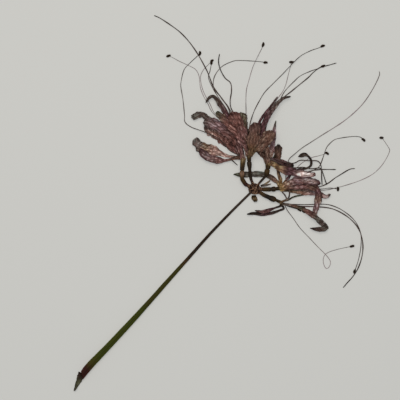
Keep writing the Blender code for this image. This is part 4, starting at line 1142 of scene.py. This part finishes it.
def make_head(material):
    """The swollen top of the scape with its sockets, grown together and shrivelled."""
    skin = Skin()
    share = np.linspace(-1, 1, HEAD_RINGS)[:, None]
    turn = ring_turns(HEAD_SIDES)
    size = np.sqrt(1 - np.clip(np.abs(share), 0, 0.999) ** 2)
    ball = grid(share, size * np.cos(turn), size * np.sin(turn))
    skin.add(ball * UMBEL_BASE + np.array([*UMBEL, UMBEL_BASE[2]]), closed=True)
    for floret in FLORETS.values():
        inside, outside = socket_points(floret)
        line = inside + np.linspace(0, 1, SOCKET_RINGS)[:, None] * (outside - inside)
        radii = floret.stalk * np.linspace(SOCKET_FLARE, 1, SOCKET_RINGS)[:, None]
        skin.add(rings(line, radii, SOCKET_SIDES), closed=True)
    rough = skin.plain("head")
    grown = rough.modifiers.new("grown", "REMESH")
    with_settings(grown, mode="VOXEL", voxel_size=HEAD_VOXEL, use_smooth_shade=True)
    with_settings(rough.modifiers.new("soft", "SMOOTH"), factor=0.5, iterations=4)
    bpy.context.view_layer.update()
    mesh = bpy.data.meshes.new_from_object(rough.evaluated_get(bpy.context.evaluated_depsgraph_get()))
    bpy.data.objects.remove(rough)
    normals = np.array([vertex.normal[:] for vertex in mesh.vertices])
    places = np.array([vertex.co[:] for vertex in mesh.vertices])
    wrinkle = [noise.ridged_multi_fractal(place / HEAD_WRINKLE, 1.0, 2.1, 3, 0.9, 1.7) for place in places]
    wrinkle = np.clip((wrinkle - np.min(wrinkle)) / np.ptp(wrinkle), 0, 1)
    places += normals * ((wrinkle - 1) * HEAD_RELIEF)[:, None]
    places[:, 2] = np.maximum(places[:, 2], 0)
    mesh.vertices.foreach_set("co", places.ravel())
    # Painted shade in the wrinkles' hollows and painted light on their ridges, through the colours and the
    # fold
    mark_mesh(mesh, places / MM, paint(HEAD_COLOURS, wrinkle), wrinkle)
    mesh.shade_smooth()
    dress(new_object("scape_head", mesh), material, "scape")


def sliver_strip():
    """Where the sliver of skin at the cut end of the scape lies."""
    path, along = smooth_path(plan(SLIVER.points), FINE)
    widths = np.interp(along, (0, along[-1]), (SLIVER.width, SLIVER_TIP))
    return Strip("scape", "blade", path, widths, np.zeros(len(path)), along, SLIVER)


def make_ovary(letter, floret, material):
    """A pedicel and its ovary: three-lobed, wrinkled, narrowing to the perianth tube."""
    rng = np.random.default_rng(SEEDS["ovary"] + ord(letter))
    points, radii = pedicel_line(floret)
    lead = points[0] - unit(points[1] - points[0]) * PEDICEL_LEAD
    line, run = smooth_path(np.column_stack([np.vstack([lead, points]), [radii[0], *radii]]), TUBE_STEP)
    swollen = ease_in((line[:, 3] - floret.stalk * 1.1) / (floret.girth * 0.4))[:, None]
    turn = ring_turns(TUBE_SIDES)
    fold = ribs(turn, run, rng, RIB_COUNTS["ovary"])
    lobes = 0.5 + 0.5 * np.cos(3 * turn + rng.uniform(0, 6))
    radii = line[:, 3:] * (1 - OVARY_LOBES * swollen * (1 - lobes) - OVARY_FURROWS * (1 - fold))
    skin = Skin()
    add_tube(skin, line[:, :3], radii, PEDICEL_COLOURS[letter], fold, ord(letter))
    skin.build(f"ovary_{letter}", material, "ovary", f"pedicel_{letter}")


def make_throat(letter, floret, material):
    """The perianth tube, hollow, with six ribs and a lobed mouth."""
    rng = np.random.default_rng(SEEDS["throat"] + ord(letter))
    points, radii = throat_line(floret)
    ahead = unit(points[-1] - points[0])
    points[0] -= ahead * THROAT_LEAD
    line, run = smooth_path(np.column_stack([points, radii - WALL]), TUBE_STEP)
    turn = ring_turns(TUBE_SIDES)
    fold = ribs(turn, run, rng, RIB_COUNTS["throat"])
    lobes = np.cos(6 * turn)
    share = run / run[-1]
    radius = line[:, 3:] * (1 + TUBE_LOBES * share[:, None] * lobes - TUBE_FURROWS * (1 - fold))
    places = rings(line[:, :3], radius, TUBE_SIDES)
    places += ahead * (MOUTH_LOBES * (lobes - 1) * ease_in(share * 3 - 2)[:, None])[..., None]
    places, fold = (np.concatenate([part, part[:, :1]], axis=1) for part in (places, fold))
    lay = run[:, None] / MM, np.append(turn, 2 * math.pi) * 1.6, float(ord(letter))
    skin = Skin()
    skin.add(places, lay, paint(THROAT_COLOURS, share)[:, None], fold)
    skin.build(f"throat_{letter}", material, "tepal", f"perianth_{letter}", WALL)


def new_material(name, sockets):
    """A material and its shader."""
    material = with_settings(bpy.data.materials.new(name), use_nodes=True)
    shader = material.node_tree.nodes["Principled BSDF"]
    set_inputs(shader, sockets)
    return material, shader


class Paintwork:
    """The nodes of one material: the tint of each point, varied by grains, with painted shade and highlights
    from the folds of the piece.
    """

    def __init__(self, name, coat):
        self.material, shader = new_material(f"dried_{name}", coat.sockets)
        self.tree = self.material.node_tree
        self.fields = {name: self.grain(*grain) for name, grain in coat.grains.items()}
        if any(name == "fold" for name, *_ in coat.tones):
            self.fields["fold"] = self.mark("fold", "Fac")
        tone = self.joined("MULTIPLY", [self.span(*span) for span in coat.tones])
        colour = self.mark("tint", "Color")
        for *span, factors in coat.hues:
            changed = self.add("ShaderNodeVectorMath", {0: colour, 1: factors}, operation="MULTIPLY")
            feeds = {0: self.span(*span), 4: colour, 5: changed}
            colour = self.add("ShaderNodeMix", feeds, 1, data_type="VECTOR")
        toned = self.add("ShaderNodeVectorMath", {0: colour, "Scale": tone}, operation="SCALE")
        height = self.joined("ADD", [self.fields[name] for name in coat.bumps])
        feeds = {"Height": height, "Distance": coat.height * MM, "Strength": coat.strength}
        self.tree.links.new(toned, shader.inputs["Base Color"])
        self.tree.links.new(self.add("ShaderNodeBump", feeds), shader.inputs["Normal"])

    def add(self, kind, feeds, output=0, **settings):
        """The output of a new node, which takes other outputs or plain values."""
        node = with_settings(self.tree.nodes.new(kind), **settings)
        for key, value in feeds.items():
            if isinstance(value, bpy.types.NodeSocket):
                self.tree.links.new(value, node.inputs[key])
            else:
                node.inputs[key].default_value = value
        return node.outputs[output]

    def mark(self, name, output):
        return self.add("ShaderNodeAttribute", {}, output, attribute_name=name)

    def grain(self, along, across, detail, roughness=0.55, distortion=0):
        """Noise over the piece's own lay, stretched along and across it."""
        feeds = {0: self.mark("lay", "Vector"), 1: (along, across, 1)}
        place = self.add("ShaderNodeVectorMath", feeds, operation="MULTIPLY")
        feeds = {"Vector": place, "Scale": 1, "Detail": detail, "Roughness": roughness}
        return self.add("ShaderNodeTexNoise", {**feeds, "Distortion": distortion})

    def span(self, name, low, high, start=0.3, end=0.7):
        return self.add("ShaderNodeMapRange", {0: self.fields[name], 1: start, 2: end, 3: low, 4: high})

    def joined(self, operation, values):
        """The product or the sum of the values."""
        total = values[0]
        for value in values[1:]:
            total = self.add("ShaderNodeMath", {0: total, 1: value}, operation=operation)
        return total


def floor_material():
    """Plain and pale, with a faint light of its own, as on a light table, which softens the shadows."""
    colour = linear(FLOOR_COLOUR)
    sockets = {
        "Base Color": (*colour * (1 - FLOOR_GLOW), 1),
        "Emission Color": (*colour, 1),
        "Emission Strength": FLOOR_GLOW * FLOOR_LIGHT,
        "Roughness": 0.9,
        "Specular IOR Level": 0.05,
    }
    return new_material("pale_floor", sockets)[0]


def lower_ceiling(ceiling, pile, strip):
    """Notes the underside of a strip as the lowest thing above what lies under it."""
    points, owner, _ = spread(strip.path, strip.widths)
    column, row = pile.cells(points)
    for right in (-1, 0, 1):
        for up in (-1, 0, 1):
            np.minimum.at(ceiling, (column + right, row + up), strip.heights[owner])


def make_flower():
    """Every piece of the flower, from the strips as they are laid, the last laid first."""
    pile = Pile()
    strips = lay_flower(pile)
    ceiling = np.full(pile.shape, CAD_BOX[1].z)
    sheets = {strip.node: Skin() for strip in strips if strip.kind == "blade"}
    filaments = {f"stamens_{letter}": Skin() for letter in FLORETS}
    anthers = {f"stamens_{letter}": Skin() for letter in FLORETS}
    for number, strip in reversed(list(enumerate(strips))):
        if strip.kind == "blade":
            add_sheet(sheets[strip.node], strip, pile, ceiling, number)
        elif strip.kind in ("filament", "style"):
            add_strand(filaments[strip.node], strip, FLORETS[strip.node[-1]], number)
        elif strip.kind == "anther":
            add_anther(anthers[strip.node], strip, number)
        lower_ceiling(ceiling, pile, strip)
    sliver = Skin()
    add_sheet(sliver, sliver_strip(), pile, ceiling, SEEDS["sliver"])

    paints = {name: Paintwork(name, coat).material for name, coat in COATS.items()}
    for node, skin in sheets.items():
        if node.startswith("perianth"):
            skin.build(f"tepals_{node[-1]}", paints["tepal"], "tepal", node, SHEET)
        else:
            skin.build(node.replace("spathe_", ""), paints["bract"], "bract", node, SHEET)
    for letter, floret in FLORETS.items():
        node = f"stamens_{letter}"
        filaments[node].build(f"filaments_{letter}", paints["filament"], "stamen", node)
        anthers[node].build(f"anthers_{letter}", paints["anther"], "stamen", node)
        make_throat(letter, floret, paints["tepal"])
        make_ovary(letter, floret, paints["ovary"])
    make_stalk(paints["scape"])
    make_head(paints["scape"])
    sliver.build("scape_sliver", paints["scape"], "scape", "scape", SHEET)


def make_stage():
    """A pale floor, a camera that looks straight down on it as the photograph does, and soft light."""
    bpy.ops.mesh.primitive_plane_add(size=FLOOR_SIDE, location=(0, 0, -0.02 * MM))
    floor = bpy.context.object
    floor.name = "floor"
    floor.data.materials.append(floor_material())

    camera = bpy.data.cameras.new("camera")
    holder = new_object("camera", with_settings(camera, lens=LENS, sensor_width=SENSOR, clip_end=10))
    holder.location = (*plan((PHOTO_SIDE / 2, PHOTO_SIDE / 2))[0], PHOTO_SIDE * PIXEL * LENS / SENSOR)
    bpy.context.scene.camera = holder

    lamp = bpy.data.lights.new("lamp", "AREA")
    with_settings(lamp, shape="SQUARE", size=LAMP_SIDE, energy=LAMP_POWER, color=LAMP_COLOUR)
    light = new_object("lamp", lamp)
    light.location = LAMP_PLACE
    light.rotation_euler = (-light.location).to_track_quat("-Z", "Y").to_euler()

    world = with_settings(bpy.data.worlds.new("sky"), use_nodes=True)
    set_inputs(world.node_tree.nodes["Background"], {"Color": (*SKY_COLOUR, 1), "Strength": SKY})
    bpy.context.scene.world = world
    bpy.context.scene.view_settings.view_transform = "Standard"


make_flower()
make_stage()
